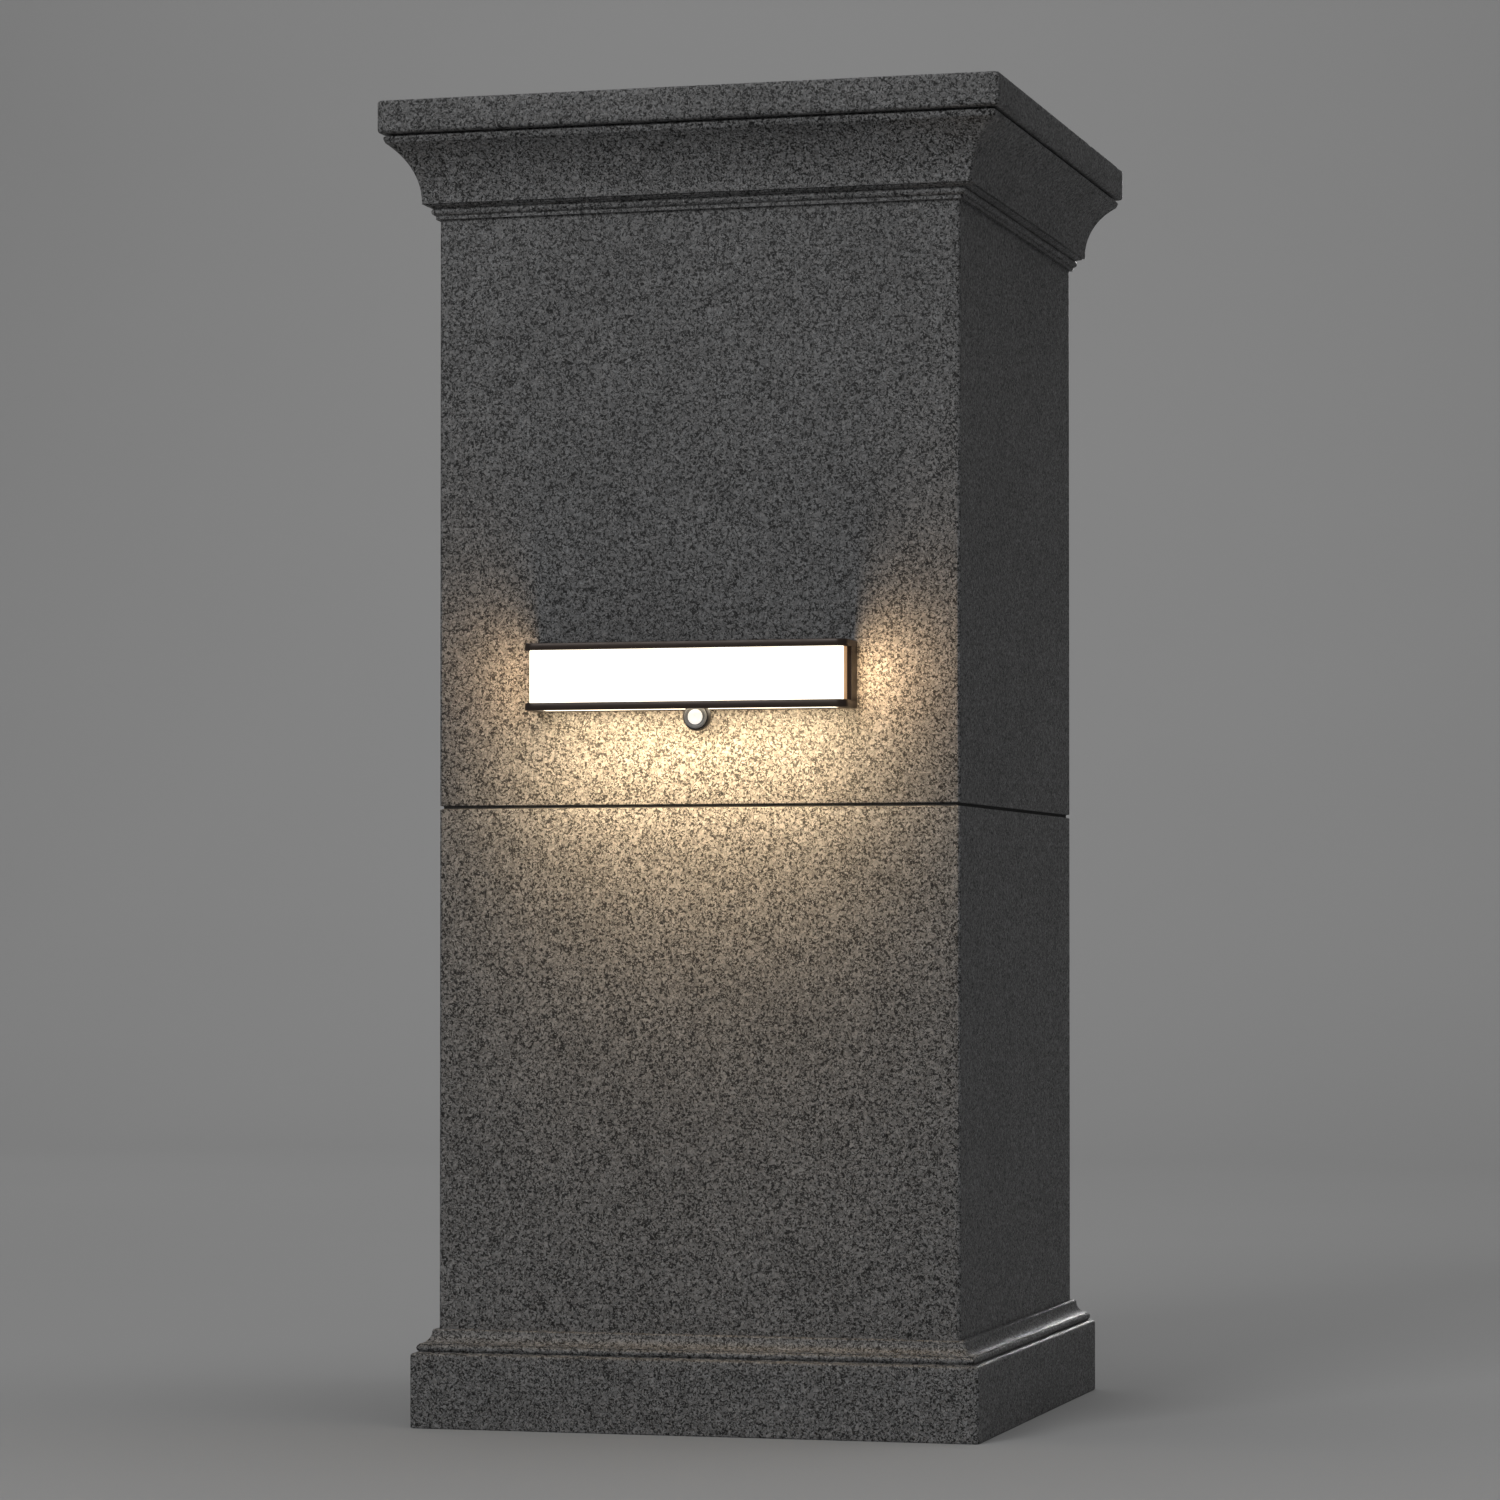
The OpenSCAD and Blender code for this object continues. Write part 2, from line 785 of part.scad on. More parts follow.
module conduit_elbow() {
    color(light_grey)
        translate([conduit_x, bend_y, bend_z])
            rotate([90, 0, 90])
                rotate_extrude(angle = 90, $fn = round_fn)
                    translate([bend_r, 0])
                        tube_ring();
}

module outlet_tube() {
    color(light_grey)
        translate([conduit_x, bend_y, outlet_z])
            rotate([90, 0, 0])
                linear_extrude(bend_y + half)
                    tube_ring();
}

module conduit_clips() {
    color(light_grey)
        for (i = [0 : clip_count - 1])
            translate([conduit_x, 0, clip_z + i * clip_pitch - clip_h / 2])
                difference() {
                    union() {
                        block([-conduit_r - clip_t, conduit_y, 0],
                            [conduit_r + clip_t, -post_half, clip_h]);
                        rod_z(0, conduit_y, conduit_d + 2 * clip_t, 0, clip_h);
                    }
                    rod_z(0, conduit_y, conduit_d + 2 * run_clear, -over, clip_h + over);
                }
}

// Holes that the gland and the mounting screws pass through
module rear_holes() {
    rod_y(conduit_x, outlet_z, gland_neck_d + 2 * piece_gap, light_y + over, housing_inner - over);
    for (x = [-1, 1])
        rod_y(x * mount_pitch / 2, outlet_z, mount_screw_d + 2 * piece_gap,
            light_y + over, housing_inner - over);
}

module wall_gasket() {
    color(rubber_black)
        difference() {
            block([-light_l / 2 + diffuser_step, housing_y, light_z + diffuser_step],
                [light_l / 2 - diffuser_step, light_y, rim_top_z - diffuser_step]);
            rear_holes();
        }
}

module wall_plugs() {
    color(light_grey)
        for (x = [-1, 1])
            difference() {
                rod_y(x * mount_pitch / 2, outlet_z, plug_d, light_y, light_y + plug_l);
                rod_y(x * mount_pitch / 2, outlet_z, mount_screw_d,
                    light_y - over, light_y + plug_l - over);
            }
}

module mounting_screws() {
    color(steel)
        for (x = [-1, 1]) {
            rod_y(x * mount_pitch / 2, outlet_z, mount_screw_d - 2 * run_clear,
                housing_inner, light_y + plug_l - 2 * over);
            rod_y(x * mount_pitch / 2, outlet_z, mount_head_d, housing_inner, housing_inner - mount_head_h);
        }
}

module light_housing() {
    half_l = light_l / 2;
    color(dark_metal)
        difference() {
            union() {
                difference() {
                    block([-half_l, housing_front, chamber_low], [half_l, housing_y, chamber_high]);
                    block([-half_l + housing_wall, housing_front - over, chamber_low - over],
                        [half_l - housing_wall, housing_inner, chamber_high + over]);
                }
                for (x = [-1, 1])
                    translate([x * (half_l - lip_w / 2), housing_front + housing_wall / 2,
                        chamber_low + chamber_h / 2])
                        cube([lip_w, housing_wall, chamber_h], center = true);
                for (x = [-1, 1])
                    rod_z(x * rim_screw_x, rim_screw_y, boss_d, chamber_low, chamber_high);
            }
            rear_holes();
            for (x = [-1, 1])
                rod_z(x * rim_screw_x, rim_screw_y, small_screw_d, chamber_low - over, chamber_high + over);
        }
}

// Plan outline of the light: straight at the stone and rounded at the front corners
module light_outline(half_l, rear, front_y, r) {
    translate([-half_l, front_y + r])
        square([2 * half_l, rear - front_y - r]);
    translate([-half_l + r, front_y])
        square([2 * (half_l - r), rear - front_y]);
    for (x = [-1, 1])
        translate([x * (half_l - r), front_y + r])
            circle(r = r, $fn = round_fn);
}

module top_rim() {
    color(dark_metal)
        difference() {
            translate([0, 0, chamber_high])
                linear_extrude(top_rim_t)
                    light_outline(light_l / 2, housing_y, light_front, rim_r);
            for (x = [-1, 1]) {
                rod_z(x * rim_screw_x, rim_screw_y, small_screw_d + 2 * fixing_clear,
                    chamber_high - over, rim_top_z + over);
                rod_z(x * rim_screw_x, rim_screw_y, small_head_d + 2 * fixing_clear,
                    rim_top_z - small_head_h - piece_gap, rim_top_z + over);
            }
        }
}

module bottom_rim() {
    ledge_l = down_lens_l - 2 * lens_ledge;
    ledge_w = down_lens_w - 2 * lens_ledge;
    color(dark_metal)
        difference() {
            translate([0, 0, light_z])
                linear_extrude(bottom_rim_t)
                    light_outline(light_l / 2, housing_y, light_front, rim_r);
            block([-ledge_l / 2, lens_y - ledge_w / 2, light_z - over],
                [ledge_l / 2, lens_y + ledge_w / 2, chamber_low + over]);
            block([-down_lens_l / 2, lens_y - down_lens_w / 2, lens_flange_z],
                [down_lens_l / 2, lens_y + down_lens_w / 2, chamber_low + over]);
            for (x = [-1, 1]) {
                rod_z(x * rim_screw_x, rim_screw_y, small_screw_d + 2 * fixing_clear,
                    light_z - over, chamber_low + over);
                rod_z(x * rim_screw_x, rim_screw_y, small_head_d + 2 * fixing_clear,
                    light_z - over, light_z + small_head_h + piece_gap);
            }
        }
}

module rim_screws() {
    shank_d = small_screw_d - 2 * run_clear;
    low_head_z = light_z + piece_gap;
    high_head_z = rim_top_z - piece_gap;
    color(steel)
        for (x = [-1, 1]) {
            rod_z(x * rim_screw_x, rim_screw_y, small_head_d, low_head_z, low_head_z + small_head_h);
            rod_z(x * rim_screw_x, rim_screw_y, shank_d, low_head_z, low_head_z + rim_screw_l);
            rod_z(x * rim_screw_x, rim_screw_y, small_head_d, high_head_z - small_head_h, high_head_z);
            rod_z(x * rim_screw_x, rim_screw_y, shank_d, high_head_z - rim_screw_l, high_head_z);
        }
}

module diffuser() {
    inner_half_l = diffuser_half - diffuser_wall;
    color(opal)
        translate([0, 0, chamber_low])
            linear_extrude(chamber_h)
                difference() {
                    light_outline(diffuser_half, diffuser_rear, diffuser_front, diffuser_r);
                    light_outline(inner_half_l, diffuser_rear + over, diffuser_front + diffuser_wall,
                        diffuser_r - diffuser_wall);
                }
}

module down_lens() {
    flange_l = down_lens_l - 2 * piece_gap;
    flange_w = down_lens_w - 2 * piece_gap;
    face_l = flange_l - 2 * lens_ledge;
    face_w = flange_w - 2 * lens_ledge;
    color(opal)
        difference() {
            union() {
                block([-face_l / 2, lens_y - face_w / 2, light_z + lens_recess],
                    [face_l / 2, lens_y + face_w / 2, lens_flange_z]);
                block([-flange_l / 2, lens_y - flange_w / 2, lens_flange_z],
                    [flange_l / 2, lens_y + flange_w / 2, lens_top_z]);
            }
            rod_z(ball_x, ball_y, ball_d + 2 * ball_clear, light_z - over, lens_top_z + over);
        }
}

module tray_spacers() {
    color(steel)
        for (x = [-1, 1], z = tray_screw_z)
            difference() {
                rod_y(x * tray_screw_pitch / 2, z, spacer_d, housing_inner, tray_back);
                rod_y(x * tray_screw_pitch / 2, z, small_screw_d, housing_inner + over, tray_back - over);
            }
}

module led_tray() {
    color(steel)
        difference() {
            block([-tray_l / 2, tray_front, tray_z - tray_h / 2],
                [tray_l / 2, tray_back, tray_z + tray_h / 2]);
            for (x = [-1, 1], z = tray_screw_z)
                rod_y(x * tray_screw_pitch / 2, z, small_screw_d + 2 * fixing_clear,
                    tray_front - over, tray_back + over);
        }
}

module tray_screws() {
    color(steel)
        for (x = [-1, 1], z = tray_screw_z) {
            rod_y(x * tray_screw_pitch / 2, z, small_screw_d - 2 * run_clear,
                tray_front, tray_back + tray_screw_l);
            rod_y(x * tray_screw_pitch / 2, z, small_head_d, tray_front - small_head_h, tray_front);
        }
}

module led_board() {
    color(circuit)
        block([-board_l / 2, board_front, tray_z - board_h / 2],
            [board_l / 2, tray_front, tray_z + board_h / 2]);
}

module led_chips() {
    color([1, 0.85, 0.5])
        for (i = [0 : chip_count - 1])
            translate([(i - (chip_count - 1) / 2) * chip_pitch, board_front - chip_t / 2, tray_z])
                cube([chip_w, chip_t, chip_w], center = true);
}

module led_driver() {
    driver_x = -mount_pitch / 2 + driver_shift;
    color(light_grey)
        block([driver_x, housing_inner - driver_depth, tray_z - driver_h / 2],
            [driver_x + driver_l, housing_inner, tray_z + driver_h / 2]);
}

module terminal_block() {
    terminal_x = conduit_x + gland_nut_d / 2 + terminal_gap;
    color(light_grey)
        difference() {
            block([terminal_x, housing_inner - terminal_depth, tray_z - terminal_h / 2],
                [terminal_x + terminal_l, housing_inner, tray_z + terminal_h / 2]);
            for (i = [1 : 3])
                rod_z(terminal_x + i * terminal_l / 4, housing_inner - terminal_depth / 2, wire_hole_d,
                    tray_z - terminal_h / 2 - over, tray_z + terminal_h / 2 + over);
        }
}

module cable_gland() {
    color(rubber_black)
        difference() {
            union() {
                rod_y(conduit_x, outlet_z, gland_neck_d, light_y, housing_inner);
                rod_y(conduit_x, outlet_z, gland_nut_d, housing_inner, housing_inner - gland_nut_h);
            }
            rod_y(conduit_x, outlet_z, gland_bore_d, light_y + over, housing_inner - gland_nut_h - over);
        }
}

module sensor_socket() {
    color(dark_metal)
        difference() {
            block([ball_x - socket_l / 2, ball_y - socket_w / 2, socket_z],
                [ball_x + socket_l / 2, ball_y + socket_w / 2, socket_z + socket_t]);
            rod_z(ball_x, ball_y, stem_d + 2 * run_clear, socket_z - over, socket_z + socket_t + over);
        }
}

module sensor_swivel() {
    color(dark_metal)
        difference() {
            union() {
                rod_z(ball_x, ball_y, stem_d, ball_z, stem_top_z);
                translate([ball_x - hub_l / 2, ball_y, ball_z])
                    rotate([0, 90, 0])
                        cylinder(d = hub_d, h = hub_l, $fn = round_fn);
            }
            translate([ball_x - hub_l / 2 - over, ball_y, ball_z])
                rotate([0, 90, 0])
                    cylinder(d = axle_d + 2 * run_clear, h = hub_l + 2 * over, $fn = round_fn);
        }
}

module swivel_nut() {
    nut_z = socket_z + socket_t + piece_gap;
    color(steel)
        difference() {
            rod_z(ball_x, ball_y, swivel_nut_d, nut_z, nut_z + swivel_nut_h);
            rod_z(ball_x, ball_y, stem_d + 2 * run_clear, nut_z - over, nut_z + swivel_nut_h + over);
        }
}

module tilt_axle() {
    color(steel)
        translate([ball_x - axle_half, ball_y, ball_z])
            rotate([0, 90, 0])
                cylinder(d = axle_d, h = 2 * axle_half, $fn = round_fn);
}

// Hollow ball, cut flat behind its ring and slotted at the top for the stem
module sensor_ball() {
    slot_half = stem_d / 2 + ball_clear;
    slot_front = ball_r * sin(tilt_up) + slot_half;
    slot_rear = ball_r * sin(tilt_down) + slot_half;
    color(dark_metal)
        translate([ball_x, ball_y, ball_z])
            difference() {
                sphere(r = ball_r, $fn = round_fn);
                sphere(r = ball_inner_r, $fn = round_fn);
                block([-ball_d, -ball_d, -ball_d], [ball_d, -ring_back, ball_d]);
                block([-slot_half, -slot_front, 0], [slot_half, slot_rear, ball_d]);
                translate([-axle_half, 0, 0])
                    rotate([0, 90, 0])
                        cylinder(d = axle_d, h = 2 * axle_half, $fn = round_fn);
            }
}

module sensor_ring() {
    color(light_grey)
        difference() {
            rod_y(ball_x, ball_z, ring_d - 2 * run_clear, ball_y - ring_back, ball_y - face_out);
            rod_y(ball_x, ball_z, sensor_lens_d, ball_y, ball_y - ball_d);
        }
}

module sensor_lens() {
    lens_front = ball_y - face_out - sensor_lens_out;
    outer_d = sensor_lens_d - 2 * sensor_lens_gap;
    color(opal)
        difference() {
            rod_y(ball_x, ball_z, outer_d, ball_y - ring_back, lens_front);
            rod_y(ball_x, ball_z, outer_d - 2 * sensor_lens_wall, ball_y, lens_front + sensor_lens_wall);
        }
}

module sensor_board() {
    color(circuit)
        rod_y(ball_x, ball_z, sensor_board_d, ball_y - board_back, ball_y - ring_back);
}

module pir_element() {
    color(steel)
        rod_y(ball_x, ball_z, pir_d, ball_y - ring_back, ball_y - ring_back - pir_h);
}

plinth_front();
plinth_right();
plinth_back();
plinth_left();
lower_front();
lower_right();
lower_back();
lower_left();
upper_front();
upper_right();
upper_back();
upper_left();
cornice_front();
cornice_right();
cornice_back();
cornice_left();
cap_slab();
bed_pointing();
base_plate();
core_post();
base_gussets();
top_plate();
setting_pads();
panel_ties();
tie_screws();
stone_dowels();
riser_conduit();
conduit_elbow();
outlet_tube();
conduit_clips();
wall_gasket();
wall_plugs();
mounting_screws();
light_housing();
top_rim();
bottom_rim();
rim_screws();
diffuser();
down_lens();
tray_spacers();
led_tray();
tray_screws();
led_board();
led_chips();
led_driver();
terminal_block();
cable_gland();
sensor_socket();
sensor_swivel();
swivel_nut();
tilt_axle();
sensor_ball();
sensor_ring();
sensor_lens();
sensor_board();
pir_element();
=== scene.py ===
import json
import math

import bmesh
import bpy
from mathutils import Matrix, Vector, noise

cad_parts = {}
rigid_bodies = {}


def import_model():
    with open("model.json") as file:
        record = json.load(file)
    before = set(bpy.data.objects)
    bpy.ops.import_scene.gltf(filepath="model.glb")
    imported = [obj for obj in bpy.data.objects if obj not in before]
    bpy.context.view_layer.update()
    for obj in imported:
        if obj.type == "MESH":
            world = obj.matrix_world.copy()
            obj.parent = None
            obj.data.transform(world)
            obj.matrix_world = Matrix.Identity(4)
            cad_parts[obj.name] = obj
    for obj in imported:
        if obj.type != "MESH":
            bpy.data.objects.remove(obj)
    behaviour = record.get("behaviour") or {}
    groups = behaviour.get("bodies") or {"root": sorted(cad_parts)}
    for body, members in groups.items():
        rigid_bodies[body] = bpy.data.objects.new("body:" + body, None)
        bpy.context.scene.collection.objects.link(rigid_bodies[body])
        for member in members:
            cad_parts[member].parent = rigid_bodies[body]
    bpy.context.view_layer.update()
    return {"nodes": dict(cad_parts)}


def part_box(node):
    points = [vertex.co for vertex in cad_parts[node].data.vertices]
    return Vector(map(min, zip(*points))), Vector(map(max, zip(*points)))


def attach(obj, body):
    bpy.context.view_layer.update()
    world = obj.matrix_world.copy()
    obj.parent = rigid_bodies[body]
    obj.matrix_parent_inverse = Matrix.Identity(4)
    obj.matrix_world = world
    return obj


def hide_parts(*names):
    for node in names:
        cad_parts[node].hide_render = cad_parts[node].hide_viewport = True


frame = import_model()
MM = 0.001

# ---------------------------------------------------------------- camera
CAMERA_PLACE = (1.2167, -4.5053, 0.4641)
CAMERA_LENS = 115.06
CAMERA_SHIFT = 0.07
YAW = math.radians(15.31)
PITCH = math.radians(0.9)
cam_data = bpy.data.cameras.new("camera")
cam_data.sensor_width = 36.0
cam_data.lens = CAMERA_LENS
cam_data.shift_y = CAMERA_SHIFT
cam_data.clip_start = 0.05
cam_data.clip_end = 100.0
camera = bpy.data.objects.new("camera", cam_data)
bpy.context.scene.collection.objects.link(camera)
camera.location = CAMERA_PLACE
aim = Vector((-math.sin(YAW) * math.cos(PITCH), math.cos(YAW) * math.cos(PITCH), math.sin(PITCH)))
camera.rotation_mode = "QUATERNION"
camera.rotation_quaternion = aim.to_track_quat("-Z", "Y")
bpy.context.scene.camera = camera
bpy.context.scene.view_settings.view_transform = "Standard"


# ---------------------------------------------------------------- material helpers
def new_material(name):
    mat = bpy.data.materials.new(name)
    mat.use_nodes = True
    tree = mat.node_tree
    return mat, tree, tree.nodes["Principled BSDF"]


def noise_tex(tree, coords, scale, detail=2.0, rough=0.5, distortion=0.0):
    made = tree.nodes.new("ShaderNodeTexNoise")
    made.inputs["Scale"].default_value = scale
    made.inputs["Detail"].default_value = detail
    made.inputs["Roughness"].default_value = rough
    made.inputs["Distortion"].default_value = distortion
    tree.links.new(coords, made.inputs["Vector"])
    return made.outputs["Fac"]


def ramp(tree, source, stops, smooth="LINEAR"):
    made = tree.nodes.new("ShaderNodeValToRGB")
    made.color_ramp.interpolation = smooth
    points = made.color_ramp.elements
    while len(points) < len(stops):
        points.new(0.5)
    for point, (place, value) in zip(points, stops):
        point.position = place
        point.color = (*value, 1.0) if isinstance(value, tuple) else (value, value, value, 1.0)
    tree.links.new(source, made.inputs["Fac"])
    return made.outputs["Color"]


def mix(tree, kind, fac, a, b):
    made = tree.nodes.new("ShaderNodeMix")
    made.data_type = "RGBA"
    made.blend_type = kind
    for socket, value in ((made.inputs[0], fac), (made.inputs[6], a), (made.inputs[7], b)):
        if isinstance(value, bpy.types.NodeSocket):
            tree.links.new(value, socket)
        elif isinstance(value, tuple):
            socket.default_value = (*value, 1.0)
        else:
            socket.default_value = value
    return made.outputs[2]


def maths(tree, kind, a, b=0.0):
    made = tree.nodes.new("ShaderNodeMath")
    made.operation = kind
    for socket, value in ((made.inputs[0], a), (made.inputs[1], b)):
        if isinstance(value, bpy.types.NodeSocket):
            tree.links.new(value, socket)
        else:
            socket.default_value = value
    return made.outputs[0]


def bump(tree, shader, height, strength, distance):
    made = tree.nodes.new("ShaderNodeBump")
    made.inputs["Strength"].default_value = strength
    made.inputs["Distance"].default_value = distance
    tree.links.new(height, made.inputs["Height"])
    tree.links.new(made.outputs["Normal"], shader.inputs["Normal"])


def object_coords(tree):
    return tree.nodes.new("ShaderNodeTexCoord").outputs["Object"]


def feed(tree, shader, socket, source):
    tree.links.new(source, shader.inputs[socket])


# ---------------------------------------------------------------- materials
GRAIN = [(0.0, 0.1), (0.3, 0.14), (0.7, 0.17), (1.0, 0.24)]
FLECK = (0.34, 0.34, 0.345)


def granite_material():
    """Dark honed granite: grey ground, fine dark worm-like grains, dots and a few pale flecks."""
    mat, tree, shader = new_material("granite")
    xyz = object_coords(tree)
    cells = tree.nodes.new("ShaderNodeTexVoronoi")
    cells.inputs["Scale"].default_value = 420.0
    tree.links.new(xyz, cells.inputs["Vector"])
    split = tree.nodes.new("ShaderNodeSeparateColor")
    tree.links.new(cells.outputs["Color"], split.inputs["Color"])
    grain = ramp(tree, split.outputs["Red"], GRAIN)
    worms = noise_tex(tree, xyz, 230.0, 1.0, 0.5, 0.8)
    line = ramp(tree, worms, [(0.445, 1.0), (0.485, 0.0), (0.515, 0.0), (0.555, 1.0)], "EASE")
    dots = noise_tex(tree, xyz, 430.0, 1.0)
    dot = ramp(tree, dots, [(0.37, 0.0), (0.44, 1.0)], "EASE")
    fleck = ramp(tree, noise_tex(tree, xyz, 560.0, 1.0), [(0.6, 0.0), (0.68, 1.0)], "EASE")
    cloud = ramp(tree, noise_tex(tree, xyz, 9.0, 3.0, 0.6), [(0.3, 0.92), (0.7, 1.08)])
    colour = mix(tree, "MULTIPLY", 0.9, grain, line)
    colour = mix(tree, "MULTIPLY", 0.85, colour, dot)
    colour = mix(tree, "MIX", maths(tree, "MULTIPLY", fleck, 0.6), colour, FLECK)
    colour = mix(tree, "MULTIPLY", 1.0, colour, cloud)
    tint = ramp(tree, split.outputs["Green"], [(0.0, (1.0, 0.985, 0.98)), (1.0, (0.97, 0.985, 1.0))])
    colour = mix(tree, "MULTIPLY", 1.0, colour, tint)
    feed(tree, shader, "Base Color", colour)
    feed(tree, shader, "Roughness", ramp(tree, split.outputs["Blue"], [(0.0, 0.45), (1.0, 0.62)]))
    shader.inputs["Specular IOR Level"].default_value = 0.3
    height = mix(tree, "ADD", 0.5, dots, line)
    bump(tree, shader, height, 0.25, 0.0004)
    return mat


def pointing_material():
    mat, tree, shader = new_material("pointing")
    xyz = object_coords(tree)
    grit = noise_tex(tree, xyz, 900.0, 3.0)
    feed(tree, shader, "Base Color", ramp(tree, grit, [(0.35, 0.03), (0.65, 0.065)]))
    shader.inputs["Roughness"].default_value = 0.95
    bump(tree, shader, grit, 0.6, 0.0006)
    return mat


def coated_metal(name, dark, light, roughness):
    mat, tree, shader = new_material(name)
    xyz = object_coords(tree)
    peel = noise_tex(tree, xyz, 1400.0, 2.0)
    wear = noise_tex(tree, xyz, 35.0, 4.0, 0.6)
    feed(tree, shader, "Base Color", mix(tree, "MIX", wear, dark, light))
    feed(tree, shader, "Roughness", ramp(tree, wear, [(0.3, roughness - 0.06), (0.7, roughness + 0.08)]))
    shader.inputs["Metallic"].default_value = 0.35
    bump(tree, shader, peel, 0.12, 0.0002)
    return mat


def bare_metal(name, dark, light, roughness, stretch=1.0):
    mat, tree, shader = new_material(name)
    xyz = object_coords(tree)
    mapping = tree.nodes.new("ShaderNodeMapping")
    mapping.inputs["Scale"].default_value = (1.0, 1.0, stretch)
    tree.links.new(xyz, mapping.inputs["Vector"])
    spangle = tree.nodes.new("ShaderNodeTexVoronoi")
    spangle.inputs["Scale"].default_value = 90.0
    tree.links.new(mapping.outputs["Vector"], spangle.inputs["Vector"])
    split = tree.nodes.new("ShaderNodeSeparateColor")
    tree.links.new(spangle.outputs["Color"], split.inputs["Color"])
    feed(tree, shader, "Base Color", mix(tree, "MIX", split.outputs["Red"], dark, light))
    rough = ramp(tree, split.outputs["Green"], [(0.0, roughness), (1.0, roughness + 0.15)])
    feed(tree, shader, "Roughness", rough)
    shader.inputs["Metallic"].default_value = 1.0
    bump(tree, shader, noise_tex(tree, mapping.outputs["Vector"], 600.0, 2.0), 0.1, 0.0002)
    return mat


def plastic(name, dark, light, roughness, grain=900.0, depth=0.15):
    mat, tree, shader = new_material(name)
    xyz = object_coords(tree)
    fine = noise_tex(tree, xyz, grain, 2.0)
    feed(tree, shader, "Base Color", mix(tree, "MIX", noise_tex(tree, xyz, 60.0, 3.0), dark, light))
    feed(tree, shader, "Roughness", ramp(tree, fine, [(0.3, roughness - 0.05), (0.7, roughness + 0.05)]))
    bump(tree, shader, fine, depth, 0.0002)
    return mat


def glowing(name, colour, strength, tint, side_share=1.0):
    """Opal plastic lit from behind; its ends glow less than its front, and the ends' base colour is darkened
    as painted shade.
    """
    mat, tree, shader = new_material(name)
    xyz = object_coords(tree)
    soft = noise_tex(tree, xyz, 40.0, 2.0)
    body = mix(tree, "MIX", soft, (0.86, 0.84, 0.8), (0.92, 0.9, 0.86))
    feed(tree, shader, "Roughness", ramp(tree, noise_tex(tree, xyz, 1200.0, 2.0), [(0.3, 0.32), (0.7, 0.42)]))
    geometry = tree.nodes.new("ShaderNodeNewGeometry")
    axes = tree.nodes.new("ShaderNodeSeparateXYZ")
    tree.links.new(geometry.outputs["Normal"], axes.inputs["Vector"])
    sideways = maths(tree, "ABSOLUTE", axes.outputs["X"])
    share = ramp(tree, sideways, [(0.95, 1.0), (0.995, side_share)])
    even = ramp(tree, soft, [(0.3, 0.97), (0.7, 1.03)])
    level = maths(tree, "MULTIPLY", maths(tree, "MULTIPLY", share, even), strength)
    # painted shade: the base colour is darkened where the opal faces sideways, at its ends
    painted_end_shade = maths(tree, "ADD", maths(tree, "MULTIPLY", share, 0.55), 0.45)
    feed(tree, shader, "Base Color", mix(tree, "MULTIPLY", 1.0, body, painted_end_shade))
    feed(tree, shader, "Emission Color", mix(tree, "MIX", share, tint, colour))
    feed(tree, shader, "Emission Strength", level)
    return mat


GRANITE = granite_material()
POINTING = pointing_material()
BRONZE = coated_metal("bronze_coat", (0.03, 0.019, 0.014), (0.048, 0.031, 0.023), 0.38)
BLACK_SCREW = coated_metal("blackened_screw", (0.02, 0.018, 0.016), (0.04, 0.036, 0.032), 0.3)
GALVANISED = bare_metal("galvanised_steel", (0.4, 0.41, 0.43), (0.58, 0.59, 0.6), 0.35)
ALUMINIUM = bare_metal("mill_aluminium", (0.6, 0.6, 0.61), (0.75, 0.75, 0.76), 0.3, 0.1)
RUBBER = plastic("gasket_rubber", (0.012, 0.012, 0.012), (0.022, 0.022, 0.022), 0.75, 700.0, 0.3)
GREY_PLASTIC = plastic("grey_plastic", (0.42, 0.42, 0.42), (0.5, 0.5, 0.5), 0.5)
BLACK_PLASTIC = plastic("black_plastic", (0.014, 0.012, 0.011), (0.024, 0.021, 0.019), 0.45)
RING_PLASTIC = plastic("ring_plastic", (0.24, 0.235, 0.225), (0.3, 0.295, 0.285), 0.32, 1500.0, 0.06)
CIRCUIT = plastic("white_board", (0.62, 0.64, 0.62), (0.72, 0.74, 0.72), 0.35)
# side_share 0.175 dims the ends' glow and paints shade into the ends' base colour
OPAL = glowing("opal_diffuser", (1.0, 0.88, 0.7), 2.2, (1.0, 0.45, 0.1), 0.175)
DOWN_GLOW = glowing("opal_underside", (1.0, 0.86, 0.66), 3.0, (1.0, 0.86, 0.66), 1.0)
CHIP_GLOW = glowing("led_phosphor", (1.0, 0.78, 0.42), 6.0, (1.0, 0.78, 0.42), 1.0)
# painted light: the sensor's milky lens is no lamp; its glow stands in for light falling on it
LENS_PAINTED_LIGHT = glowing("milky_lens_painted_light", (1.0, 0.93, 0.84), 0.55, (1.0, 0.93, 0.84), 1.0)


# ---------------------------------------------------------------- mesh helpers
def smooth_by_angle(mesh, degrees=32.0):
    bm = bmesh.new()
    bm.from_mesh(mesh)
    bmesh.ops.recalc_face_normals(bm, faces=bm.faces)
    limit = math.radians(degrees)
    for edge in bm.edges:
        edge.smooth = len(edge.link_faces) == 2 and edge.calc_face_angle(0.0) < limit
    for face in bm.faces:
        face.smooth = True
    bm.to_mesh(mesh)
    bm.free()


def add_piece(name, verts, faces, material, body, *stands_for):
    mesh = bpy.data.meshes.new(name)
    mesh.from_pydata([tuple(v) for v in verts], [], faces)
    mesh.validate()
    smooth_by_angle(mesh)
    mesh.materials.append(material)
    made = bpy.data.objects.new(name, mesh)
    bpy.context.scene.collection.objects.link(made)
    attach(made, body)
    if stands_for:
        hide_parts(*stands_for)
    return made


